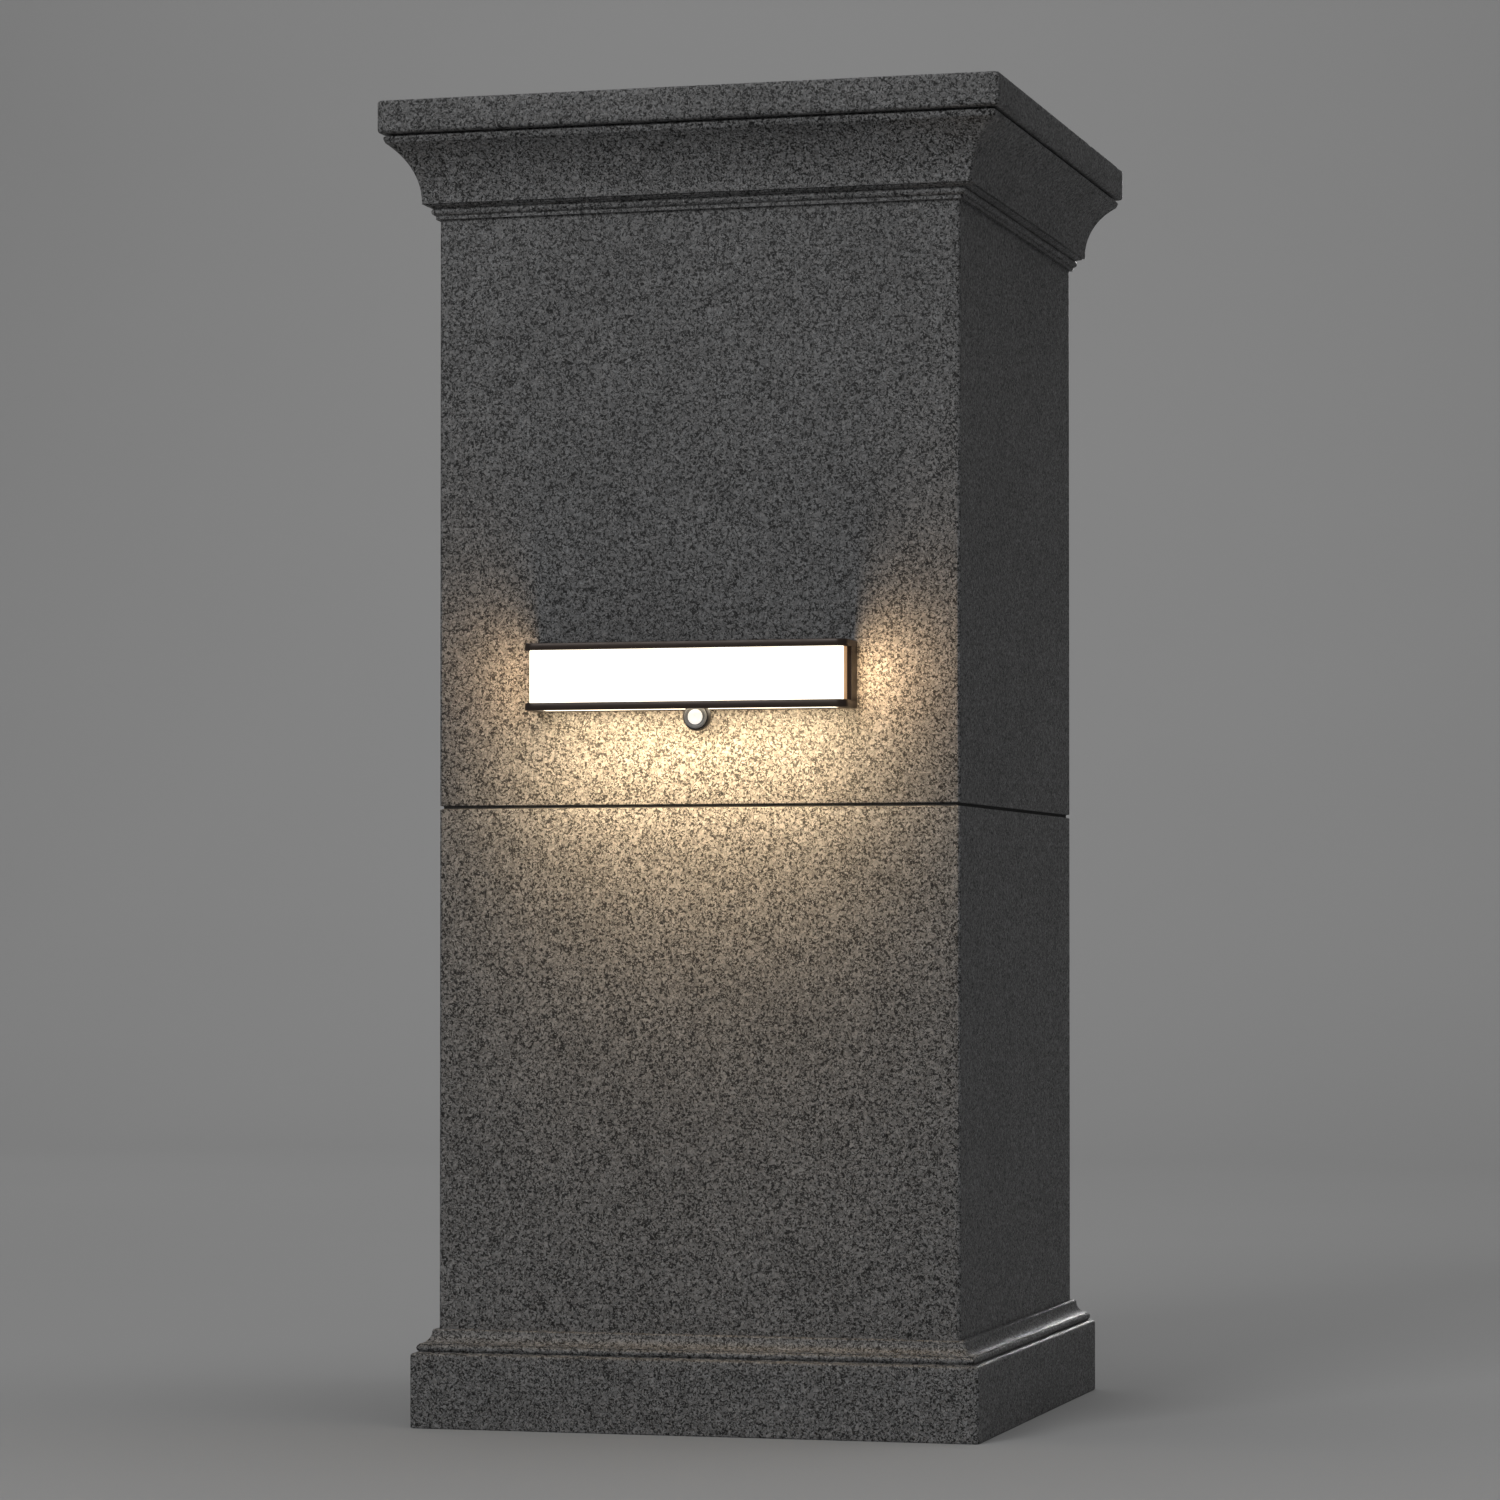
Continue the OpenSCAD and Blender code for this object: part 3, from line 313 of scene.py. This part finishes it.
def loft(rings, closed_rings=True, caps=True, closed_path=False):
    """Skins a list of rings that have the same number of points."""
    verts = [p for ring in rings for p in ring]
    n = len(rings[0])
    faces = []
    count = len(rings)
    for i in range(count if closed_path else count - 1):
        j = (i + 1) % count
        for k in range(n if closed_rings else n - 1):
            m = (k + 1) % n
            faces.append((i * n + k, i * n + m, j * n + m, j * n + k))
    if caps and not closed_path:
        faces.append(tuple(reversed(range(n))))
        faces.append(tuple((count - 1) * n + k for k in range(n)))
    return verts, faces


def turned(profile, place, steps):
    """Turns (radius, along) points round an axis; place maps (across, up, along) to the row frame."""
    rings = []
    for radius, along in profile:
        angles = [2 * math.pi * s / steps for s in range(steps)]
        rings.append([place(radius * math.cos(a), radius * math.sin(a), along) for a in angles])
    return rings


def cut(piece, *cutters):
    """Cuts closed meshes out of a piece and keeps the result as its mesh."""
    for verts, faces in cutters:
        mesh = bpy.data.meshes.new("cutter")
        mesh.from_pydata([tuple(v) for v in verts], [], faces)
        bm = bmesh.new()
        bm.from_mesh(mesh)
        bmesh.ops.recalc_face_normals(bm, faces=bm.faces)
        bm.to_mesh(mesh)
        bm.free()
        tool = bpy.data.objects.new("cutter", mesh)
        bpy.context.scene.collection.objects.link(tool)
        modifier = piece.modifiers.new("cut", "BOOLEAN")
        modifier.operation = "DIFFERENCE"
        modifier.solver = "EXACT"
        modifier.object = tool
        graph = bpy.context.evaluated_depsgraph_get()
        result = bpy.data.meshes.new_from_object(piece.evaluated_get(graph))
        piece.modifiers.clear()
        old = piece.data
        piece.data = result
        bpy.data.meshes.remove(old)
        bpy.data.objects.remove(tool)
        bpy.data.meshes.remove(mesh)
    smooth_by_angle(piece.data)


def box_mesh(low, high):
    (a, b, c), (d, e, f) = low, high
    verts = [(a, b, c), (d, b, c), (d, e, c), (a, e, c), (a, b, f), (d, b, f), (d, e, f), (a, e, f)]
    faces = [(0, 3, 2, 1), (4, 5, 6, 7), (0, 1, 5, 4), (1, 2, 6, 5), (2, 3, 7, 6), (3, 0, 4, 7)]
    return verts, faces


def arc(cx, cy, r, start, end, steps):
    return [(cx + r * math.cos(math.radians(start + (end - start) * i / steps)),
             cy + r * math.sin(math.radians(start + (end - start) * i / steps))) for i in range(steps + 1)]


# ---------------------------------------------------------------- stone
shaft_low, shaft_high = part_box("lower_front")
HALF = -shaft_low.y / MM
SLAB = (shaft_high.y - shaft_low.y) / MM
PLINTH_OUT = -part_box("plinth_front")[0].y / MM - HALF
PLINTH_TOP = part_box("plinth_front")[1].z / MM
JOINT_LOW = shaft_high.z / MM
JOINT_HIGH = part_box("upper_front")[0].z / MM
SHAFT_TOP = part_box("upper_front")[1].z / MM
CAP_LOW, CAP_TOP = (corner.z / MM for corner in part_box("cap_slab"))
CAP_OUT = -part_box("cap_slab")[0].y / MM - HALF
STATIONS = 96
ARRIS = 3.0
JOINT_EDGE = 0.9


def plinth_profile():
    return ([(PLINTH_OUT - 1.0, 0.0), (PLINTH_OUT, 1.0)]
            + [(PLINTH_OUT, z) for z in (12, 24, 36, 48, 58)]
            + arc(PLINTH_OUT - 3.0, 67.0, 3.0, 0, 90, 5)
            + arc(13.7, 74.5, 3.5, -65, 65, 8)
            + arc(17.0, 89.5, 11.5, 262, 184, 10)
            + arc(3.5, 89.5, 2.0, 10, 90, 4)
            + [(0.5, PLINTH_TOP)])


def shaft_profile(low, high, low_edge, high_edge):
    points = [(-low_edge, low)] if low_edge else [(0.0, low)]
    if low_edge:
        points += arc(-low_edge, low + low_edge, low_edge, -70, 0, 4)
    steps = 12
    rise = high - low - low_edge - high_edge
    points += [(0.0, low + low_edge + rise * i / steps) for i in range(1, steps)]
    if high_edge:
        points += arc(-high_edge, high - high_edge, high_edge, 0, 70, 4) + [(-high_edge, high)]
    else:
        points += [(0.0, high)]
    return points


def cornice_profile():
    cove = 27.0
    rise = 52.0
    radius = (cove * cove + rise * rise) / (2 * cove)
    turn = math.degrees(math.asin(rise / radius))
    foot = CAP_LOW - 8.0 - rise
    return ([(0.5, SHAFT_TOP), (3.5, SHAFT_TOP), (3.5, SHAFT_TOP + 3.5)]
            + arc(3.5, SHAFT_TOP + 7.0, 3.5, -80, 60, 8)
            + [(8.5, foot - 4.6), (11.2, foot - 3.8), (11.5, foot - 3.4), (11.5, foot - 2.6),
               (13.7, foot - 2.5), (14.0, foot - 2.2)]
            + arc(14.0 + radius, foot, radius, 180, 180 - turn, 18)
            + [(41.4, CAP_LOW - 6.5), (42.2, CAP_LOW - 5.0), (42.4, CAP_LOW - 3.2), (41.8, CAP_LOW - 2.4),
               (35.0, CAP_LOW - 2.2), (35.0, CAP_LOW)])


def cap_profile():
    return ([(43.0, CAP_LOW)]
            + arc(CAP_OUT - 3.0, CAP_LOW + 3.2, 3.0, -60, 0, 4)
            + [(CAP_OUT, z) for z in (CAP_LOW + 10, CAP_LOW + 17, CAP_LOW + 24)]
            + arc(CAP_OUT - 2.6, CAP_TOP - 2.6, 2.6, 0, 90, 5))


def chip(place, side, height):
    """How far the stone's edge is worn back at this place, in millimetres."""
    fine = noise.noise(Vector((place * 0.11, side * 31.7, height * 0.13)))
    spot = noise.noise(Vector((place * 0.027, side * 17.3 + 5.0, height * 0.05)))
    return max(0.0, fine) * 0.35 + max(0.0, spot - 0.42) * 3.0


def side_piece(name, profile, side, inner=None, radius=ARRIS):
    """One mitred piece: its profile swept along one side, from mitre to mitre."""
    inner = -SLAB if inner is None else inner
    loop = [(inner, profile[0][1])] + list(profile) + [(inner, profile[-1][1])]
    skin = range(1, len(loop) - 1)
    corner_steps = 4
    turn = Matrix.Rotation(math.radians(90 * side), 4, "Z")
    stations = [("left", k) for k in range(corner_steps + 1)]
    stations += [("mid", i) for i in range(1, STATIONS)]
    stations += [("right", k) for k in range(corner_steps + 1)]
    sharp = []
    for j, (o, z) in enumerate(loop):
        bend = 0.0
        if j in skin and 1 < j < len(loop) - 2:
            a = Vector((loop[j][0] - loop[j - 1][0], loop[j][1] - loop[j - 1][1]))
            b = Vector((loop[j + 1][0] - loop[j][0], loop[j + 1][1] - loop[j][1]))
            if a.length > 1e-6 and b.length > 1e-6:
                bend = a.angle(b)
        sharp.append(bend)
    rings = []
    for kind, k in stations:
        ring = []
        for j, (o, z) in enumerate(loop):
            r = radius if j in skin else 0.0
            edge = HALF + o
            flat = edge - r
            if kind == "left":
                angle = math.radians(-135 + 45 * k / corner_steps)
                x, y = -flat + r * math.cos(angle), -flat + r * math.sin(angle)
                place = -flat
            elif kind == "right":
                angle = math.radians(-90 + 45 * k / corner_steps)
                x, y = flat + r * math.cos(angle), -flat + r * math.sin(angle)
                place = flat
            else:
                place = flat * (2 * k / STATIONS - 1)
                x, y = place, -edge
            if j in skin and sharp[j] > 0.2:
                worn = chip(place, side, z) * min(1.0, sharp[j])
                y += worn * 0.7
                if kind != "mid":
                    x -= math.copysign(worn * 0.5, x)
            ring.append(turn @ Vector((x * MM, y * MM, z * MM)))
        rings.append(ring)
    verts, faces = loft(rings)
    return add_piece(name + "_stone", verts, faces, GRANITE, "pillar", name)


SIDES = ("front", "right", "back", "left")
for number, word in enumerate(SIDES):
    side_piece("plinth_" + word, plinth_profile(), number)
    side_piece("lower_" + word, shaft_profile(PLINTH_TOP, JOINT_LOW, 0.0, JOINT_EDGE), number)
    side_piece("upper_" + word, shaft_profile(JOINT_HIGH, SHAFT_TOP, JOINT_EDGE, 0.0), number)
    side_piece("cornice_" + word, cornice_profile(), number)


def cap_piece():
    """The one-piece cap slab, with eased and slightly worn edges."""
    rings = []
    steps_per_side = 60
    corner = 6
    radius = 3.5
    for o, z in cap_profile():
        ring = []
        for side in range(4):
            turn = Matrix.Rotation(math.radians(90 * side), 4, "Z")
            flat = HALF + o - radius
            row = [(flat * (2 * i / steps_per_side - 1), -(HALF + o), 0.0) for i in range(steps_per_side + 1)]
            row += [(flat + radius * math.sin(math.radians(90 * k / corner)),
                     -flat - radius * math.cos(math.radians(90 * k / corner)), 1.0) for k in range(1, corner)]
            for x, y, _ in row:
                worn = chip(x, side + 9, z) if z > CAP_TOP - 3 or z < CAP_LOW + 4 else 0.0
                ring.append(turn @ Vector((x * MM, (y + worn * 0.6) * MM, z * MM)))
        rings.append(ring)
    verts, faces = loft(rings)
    add_piece("cap_slab_stone", verts, faces, GRANITE, "pillar", "cap_slab")


cap_piece()


def pointing_piece():
    """The mortar strip: raked back, with a slightly hollow and uneven face."""
    out = -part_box("bed_pointing")[0].y / MM - HALF
    rings = []
    for side in range(4):
        turn = Matrix.Rotation(math.radians(90 * side), 4, "Z")
        for i in range(80):
            t = 2 * i / 80 - 1
            ring = []
            for o, z in ((-SLAB, JOINT_LOW), (out, JOINT_LOW), (out - 0.5, (JOINT_LOW + JOINT_HIGH) / 2),
                         (out, JOINT_HIGH), (-SLAB, JOINT_HIGH)):
                edge = HALF + o
                uneven = 0.4 * noise.noise(Vector((t * 60.0, side * 5.0, z))) if o > -SLAB else 0.0
                ring.append(turn @ Vector((t * edge * MM, -(edge - abs(uneven)) * MM, z * MM)))
            rings.append(ring)
    verts, faces = loft(rings, closed_path=True)
    add_piece("bed_pointing_mortar", verts, faces, POINTING, "pillar", "bed_pointing")


pointing_piece()

# ---------------------------------------------------------------- light
top_low, top_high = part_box("top_rim")
bottom_low, bottom_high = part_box("bottom_rim")
opal_low, opal_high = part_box("diffuser")
house_low, house_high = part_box("light_housing")
lens_low, lens_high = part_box("down_lens")
RIM_R = 9.5 * MM
CORNER_STEPS = 10


def light_outline(low, high, radius, inset=0.0, rear_inset=None):
    """Plan outline: square at the stone and rounded at the two front corners."""
    back = high.y - (inset if rear_inset is None else rear_inset)
    x = high.x - inset
    front = low.y + inset
    r = max(radius - inset, 0.2 * MM)
    points = [(-x, back)]
    points += [(-x + r - r * math.cos(math.radians(a)), front + r - r * math.sin(math.radians(a)))
               for a in [90 * i / CORNER_STEPS for i in range(CORNER_STEPS + 1)]]
    points += [(x - r + r * math.sin(math.radians(a)), front + r - r * math.cos(math.radians(a)))
               for a in [90 * i / CORNER_STEPS for i in range(CORNER_STEPS + 1)]]
    points += [(x, back)]
    return points


def plate(low, high, radius, ease):
    """A plate with the light's outline and eased edges."""
    rings = []
    levels = [(0.0, ease), (ease * 0.3, ease * 0.3), (ease, 0.0)]
    stack = [(low.z + h, i) for h, i in levels] + [(high.z - h, i) for h, i in reversed(levels)]
    for z, inset in stack:
        rings.append([(x, y, z) for x, y in light_outline(low, high, radius, inset)])
    return loft(rings)


def cylinder_mesh(x, y, low, high, radius, steps=32):
    return loft(turned([(radius, low), (radius, high)], lambda across, up, z: (x + across, y + up, z), steps))


screw_low, screw_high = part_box("rim_screws")
SCREW_R = (screw_high.y - screw_low.y) / 2
SCREW_X = screw_high.x - SCREW_R
SCREW_Y = (screw_high.y + screw_low.y) / 2
HEAD_H = 1.8 * MM
SHANK_R = 1.45 * MM
SHANK_L = 14 * MM

top_rim = add_piece("top_rim_cover", *plate(top_low, top_high, RIM_R, 0.9 * MM), BRONZE, "pillar", "top_rim")
gap = 0.3 * MM
cut(top_rim, *[cylinder_mesh(s * SCREW_X, SCREW_Y, top_high.z - HEAD_H - gap, top_high.z + MM, SCREW_R + gap)
               for s in (-1, 1)])

bottom_rim = add_piece("bottom_rim_frame", *plate(bottom_low, bottom_high, RIM_R, 0.9 * MM), BRONZE, "pillar",
                       "bottom_rim")
ledge = 2.0 * MM
BALL_HOLE_R = 13.5 * MM
cut(bottom_rim,
    box_mesh((lens_low.x + ledge - gap, lens_low.y + ledge - gap, bottom_low.z - MM),
             (lens_high.x - ledge + gap, lens_high.y - ledge + gap, bottom_high.z + MM)),
    box_mesh((lens_low.x - gap, lens_low.y - gap, bottom_low.z + 3 * MM),
             (lens_high.x + gap, lens_high.y + gap, bottom_high.z + MM)),
    *[cylinder_mesh(s * SCREW_X, SCREW_Y, bottom_low.z - MM, bottom_low.z + HEAD_H + gap, SCREW_R + gap)
      for s in (-1, 1)])


def screw_piece():
    """Four countersunk screws with hexagon sockets."""
    verts, faces = [], []
    steps = 24

    def ring(x, z, radius, flat=0.0):
        made = []
        for s in range(steps):
            a = 2 * math.pi * s / steps
            r = radius
            if flat:
                r = radius / math.cos((a + math.pi / 6) % (math.pi / 3) - math.pi / 6)
            made.append((x + r * math.cos(a), SCREW_Y + r * math.sin(a), z))
        return made

    for s in (-1, 1):
        for outer, way in ((screw_low.z, 1), (screw_high.z, -1)):
            x = s * SCREW_X
            socket = outer + way * 1.2 * MM
            under = outer + way * HEAD_H
            rings = [ring(x, socket, 0.01 * MM), ring(x, socket, 1.2 * MM, 1.0),
                     ring(x, outer + way * 0.1 * MM, 1.25 * MM, 1.0), ring(x, outer, 1.4 * MM, 1.0),
                     ring(x, outer, SCREW_R - 0.3 * MM), ring(x, outer + way * 0.3 * MM, SCREW_R),
                     ring(x, under, SCREW_R), ring(x, under, SHANK_R), ring(x, outer + way * SHANK_L, SHANK_R)]
            v, f = loft(rings)
            faces += [tuple(i + len(verts) for i in face) for face in f]
            verts += v
    add_piece("rim_screw_set", verts, faces, BLACK_SCREW, "pillar", "rim_screws")


screw_piece()


def diffuser_piece():
    """The opal cover: a U in plan, with eased front corners."""
    outer = light_outline(opal_low, opal_high, 7.0 * MM, 0.0, 0.0)
    wall = 2.5 * MM
    inner = light_outline(opal_low, opal_high, 7.0 * MM, wall, 0.0)
    half_outer = outer + list(reversed(inner))
    rings = []
    height = opal_high.z - opal_low.z
    for t in [0.0, 0.02, 0.2, 0.4, 0.6, 0.8, 0.98, 1.0]:
        rings.append([(x, y, opal_low.z + height * t) for x, y in half_outer])
    verts, faces = loft(rings, caps=False)
    n = len(half_outer)
    m = len(outer)
    last = (len(rings) - 1) * n
    for k in range(m - 1):
        faces.append((k, n - 1 - k, n - 2 - k, k + 1))
        faces.append((last + k, last + k + 1, last + n - 2 - k, last + n - 1 - k))
    add_piece("opal_cover", verts, faces, OPAL, "pillar", "diffuser")


diffuser_piece()
axle_low, axle_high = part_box("tilt_axle")
ball_centre = (axle_low + axle_high) / 2

flange_z = bottom_low.z + 3 * MM
lens_rings = []
for z, inset in ((lens_low.z, ledge + 0.4 * MM), (lens_low.z + 0.4 * MM, ledge), (flange_z, ledge),
                 (flange_z, 0.0), (lens_high.z - 0.3 * MM, 0.0), (lens_high.z, 0.3 * MM)):
    corners = [(lens_low.x + inset, lens_low.y + inset), (lens_high.x - inset, lens_low.y + inset),
               (lens_high.x - inset, lens_high.y - inset), (lens_low.x + inset, lens_high.y - inset)]
    ring = []
    for i, (x, y) in enumerate(corners):
        nx, ny = corners[(i + 1) % 4]
        pieces = 24 if i % 2 == 0 else 4
        ring += [(x + (nx - x) * k / pieces, y + (ny - y) * k / pieces, z) for k in range(pieces)]
    lens_rings.append(ring)
down_lens = add_piece("underside_lens", *loft(lens_rings), DOWN_GLOW, "pillar", "down_lens")
cut(down_lens, cylinder_mesh(ball_centre.x, ball_centre.y, lens_low.z - MM, lens_high.z + MM, BALL_HOLE_R, 64))


def housing_piece():
    """Rear casing: a shallow tray with eased outer edges and lips behind the diffuser's ends."""
    wall = 2.5 * MM
    ease = 0.8 * MM
    x = house_high.x
    lip = 8 * MM
    front, back = house_low.y, house_high.y
    plan = [(-x, front), (-x, back - ease), (-x + ease, back), (x - ease, back), (x, back - ease), (x, front),
            (x - lip, front), (x - lip, front + wall), (x - wall, front + wall), (x - wall, back - wall),
            (-x + wall, back - wall), (-x + wall, front + wall), (-x + lip, front + wall), (-x + lip, front)]
    levels = [house_low.z + (house_high.z - house_low.z) * t for t in (0.0, 0.5, 1.0)]
    rings = [[(px, py, z) for px, py in plan] for z in levels]
    verts, faces = loft(rings)
    add_piece("housing_casing", verts, faces, BRONZE, "pillar", "light_housing")


housing_piece()

# ---------------------------------------------------------------- sensor
ring_low, ring_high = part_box("sensor_ring")
slens_low, slens_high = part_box("sensor_lens")


def facing(across, up, along):
    """Maps a turned profile to the sensor, whose axis points to the front."""
    return Vector((ball_centre.x + across, ball_centre.y - along, ball_centre.z + up))


BALL_R = 13.0
HOLLOW_R = 11.0
AXIS_R = 0.01
TURN_STEPS = 64
SLOT_LOW = (-3.5, -4.6, 4.0)
SLOT_HIGH = (3.5, 11.8, 14.0)
FLAT = (ball_centre.y - ring_high.y) / MM
open_r = math.sqrt(HOLLOW_R ** 2 - FLAT ** 2)
edge_r = math.sqrt(BALL_R ** 2 - FLAT ** 2)


def ball_arc(radius, degrees):
    points = [(radius * math.sin(math.radians(a)), -radius * math.cos(math.radians(a))) for a in degrees]
    return [p for p in points if p[1] < FLAT - 0.3]


shell = [(AXIS_R, -BALL_R)] + ball_arc(BALL_R, range(5, 110, 5))
shell += [(edge_r, FLAT - 0.25), (edge_r - 0.25, FLAT), (open_r, FLAT)]
shell += ball_arc(HOLLOW_R, range(110, 4, -5)) + [(AXIS_R, -HOLLOW_R)]
verts, faces = loft(turned([(r * MM, a * MM) for r, a in shell], facing, TURN_STEPS))
ball = add_piece("eyeball_shell", verts, faces, BLACK_PLASTIC, "eye", "sensor_ball")
cut(ball, box_mesh(tuple(ball_centre + Vector(SLOT_LOW) * MM), tuple(ball_centre + Vector(SLOT_HIGH) * MM)))

ring_r = (ring_high.x - ring_low.x) / 2 / MM
front_a = (ball_centre.y - ring_low.y) / MM
back_a = (ball_centre.y - ring_high.y) / MM
bore_r = 7.0
ring_profile = [(bore_r, back_a), (ring_r, back_a), (ring_r, front_a - 0.7), (ring_r - 0.2, front_a - 0.25),
                (ring_r - 0.7, front_a), (ring_r - 1.9, front_a), (ring_r - 2.2, front_a - 0.5),
                (ring_r - 2.6, front_a - 0.6), (bore_r + 0.7, front_a - 0.6), (bore_r + 0.5, front_a - 0.2),
                (bore_r, front_a - 0.3)]
ring_points = [(r * MM, a * MM) for r, a in ring_profile]
verts, faces = loft(turned(ring_points, facing, TURN_STEPS), closed_path=True)
add_piece("eyeball_ring", verts, faces, RING_PLASTIC, "eye", "sensor_ring")

lens_r = (slens_high.x - slens_low.x) / 2 / MM
lens_back = (ball_centre.y - slens_high.y) / MM
lens_front = (ball_centre.y - slens_low.y) / MM
dome = [(lens_r - 1.0, lens_back), (lens_r, lens_back), (lens_r, lens_front - 0.8),
        (lens_r - 0.15, lens_front - 0.6)]
zones = 6
for i in range(zones):
    t0 = 1 - i / zones
    t1 = 1 - (i + 0.85) / zones
    lift0 = lens_front - 0.55 * t0 ** 2
    lift1 = lens_front - 0.55 * t1 ** 2
    dome += [((lens_r - 0.2) * t0, lift0 - 0.06), ((lens_r - 0.2) * t1, lift1)]
dome += [(AXIS_R, lens_front)]
inner_dome = [(AXIS_R, lens_front - 1.0), (lens_r - 2.0, lens_front - 1.3), (lens_r - 1.0, lens_front - 1.6)]
profile = dome + inner_dome
verts, faces = loft(turned([(r * MM, a * MM) for r, a in profile], facing, TURN_STEPS), closed_path=True)
# the lens material's glow is painted light, not a lamp
add_piece("eyeball_lens", verts, faces, LENS_PAINTED_LIGHT, "eye", "sensor_lens")

# ---------------------------------------------------------------- CAD nodes that stay
KEPT = {
    GALVANISED: ("base_plate", "core_post", "base_gussets", "top_plate", "panel_ties", "tie_screws",
                 "stone_dowels", "mounting_screws", "tray_spacers", "tray_screws", "swivel_nut", "tilt_axle"),
    ALUMINIUM: ("led_tray", "pir_element"),
    RUBBER: ("setting_pads", "wall_gasket"),
    GREY_PLASTIC: ("riser_conduit", "conduit_elbow", "outlet_tube", "conduit_clips", "wall_plugs",
                   "led_driver", "terminal_block"),
    BLACK_PLASTIC: ("cable_gland", "sensor_socket", "sensor_swivel"),
    CIRCUIT: ("led_board", "sensor_board"),
    CHIP_GLOW: ("led_chips",),
}
for material, names in KEPT.items():
    for name in names:
        kept = frame["nodes"][name]
        kept.data.materials.clear()
        kept.data.materials.append(material)


# ---------------------------------------------------------------- stage and lights
STAGE_REACH = 60.0
CURVE_START = 5.0
CURVE_R = 3.0


def stage_sheet():
    """Pale floor that curves up into a backdrop."""
    path = [(y, 0.0) for y in (-STAGE_REACH, -9.0, -4.0, 0.0, 3.0, CURVE_START)]
    path += arc(CURVE_START, CURVE_R, CURVE_R, -84, 0, 14)
    path += [(CURVE_START + CURVE_R, z) for z in (6.0, 12.0)]
    rings = [[(x, y, z) for y, z in path] for x in (-STAGE_REACH, -14.0, 0.0, 14.0, STAGE_REACH)]
    verts = [p for ring in rings for p in ring]
    n = len(path)
    faces = [(i * n + k, (i + 1) * n + k, (i + 1) * n + k + 1, i * n + k + 1)
             for i in range(len(rings) - 1) for k in range(n - 1)]
    mesh = bpy.data.meshes.new("backdrop")
    mesh.from_pydata(verts, [], faces)
    for face in mesh.polygons:
        face.use_smooth = True
    mat, tree, shader = new_material("backdrop")
    soft = noise_tex(tree, object_coords(tree), 1.5, 2.0)
    feed(tree, shader, "Base Color", ramp(tree, soft, [(0.3, 0.427), (0.7, 0.433)]))
    shader.inputs["Roughness"].default_value = 0.9
    shader.inputs["Specular IOR Level"].default_value = 0.1
    mesh.materials.append(mat)
    made = bpy.data.objects.new("backdrop", mesh)
    bpy.context.scene.collection.objects.link(made)


stage_sheet()

world = bpy.data.worlds.new("studio")
world.use_nodes = True
sky = world.node_tree.nodes["Background"]
sky.inputs["Color"].default_value = (1.0, 1.0, 1.0, 1.0)
sky.inputs["Strength"].default_value = 0.25
bpy.context.scene.world = world


def area(name, place, target, size, watts, colour=(1.0, 1.0, 1.0), size_y=None, spread=180.0):
    data = bpy.data.lights.new(name, "AREA")
    data.energy = watts
    data.color = colour
    data.shape = "RECTANGLE" if size_y else "SQUARE"
    data.size = size
    if size_y:
        data.size_y = size_y
    data.spread = math.radians(spread)
    made = bpy.data.objects.new(name, data)
    bpy.context.scene.collection.objects.link(made)
    made.location = place
    made.rotation_mode = "QUATERNION"
    made.rotation_quaternion = (Vector(target) - Vector(place)).to_track_quat("-Z", "Y")
    made.visible_camera = False
    return made


area("key_softbox", (-1.7, -6.3, 4.2), (0.0, 0.0, 0.6), 2.6, 150.0)
area("top_softbox", (0.4, 0.6, 4.4), (0.0, 0.0, 0.5), 2.6, 38.0)
back_fill = area("back_fill", (0.0, 5.0, 1.9), (0.0, 0.0, 0.7), 0.4, 3.5, spread=40.0)
area("wall_softbox", (-2.2, 3.6, 5.2), (-2.2, 8.0, 1.9), 3.0, 75.0)

# The light's own wash on the stone: one lamp for the underside and one in each end of the diffuser.
DOWN_WARM = (1.0, 0.71, 0.4)
DOWN_TILT = math.radians(50.0)
DOWN_WATTS = 1.12
DOWN_SIZE = (0.286, 0.03)
DOWN_SPREAD = 120.0
SIDE_WARM = (1.0, 0.66, 0.36)
SIDE_WATTS = {-1: 0.2, 1: 0.3}
SIDE_SIZE = (0.014, 0.044)
SIDE_SPREAD = 175.0
down_place = Vector((0.0, house_high.y - 95 * MM, bottom_low.z - MM))
down_aim = Vector((0.0, down_place.y + math.tan(DOWN_TILT), bottom_low.z - 1.0))
wash_lamps = [area("down_wash", down_place, down_aim, DOWN_SIZE[0], DOWN_WATTS, DOWN_WARM, DOWN_SIZE[1],
                   DOWN_SPREAD)]
for s, watts in SIDE_WATTS.items():
    side_place = Vector((s * (opal_high.x - 1.2 * MM), opal_high.y - 9 * MM, (opal_low.z + opal_high.z) / 2))
    wash_lamps.append(area("side_wash", side_place, side_place + Vector((s, 0.0, 0.0)), SIDE_SIZE[0], watts,
                           SIDE_WARM, SIDE_SIZE[1], SIDE_SPREAD))
stones = bpy.data.collections.new("stones")
for piece in bpy.context.scene.objects:
    if piece.type == "MESH" and piece.name.endswith(("_stone", "_mortar")):
        stones.objects.link(piece)
back_fill.light_linking.receiver_collection = stones
for lamp in wash_lamps:
    lamp.light_linking.receiver_collection = stones
    lamp.light_linking.blocker_collection = stones
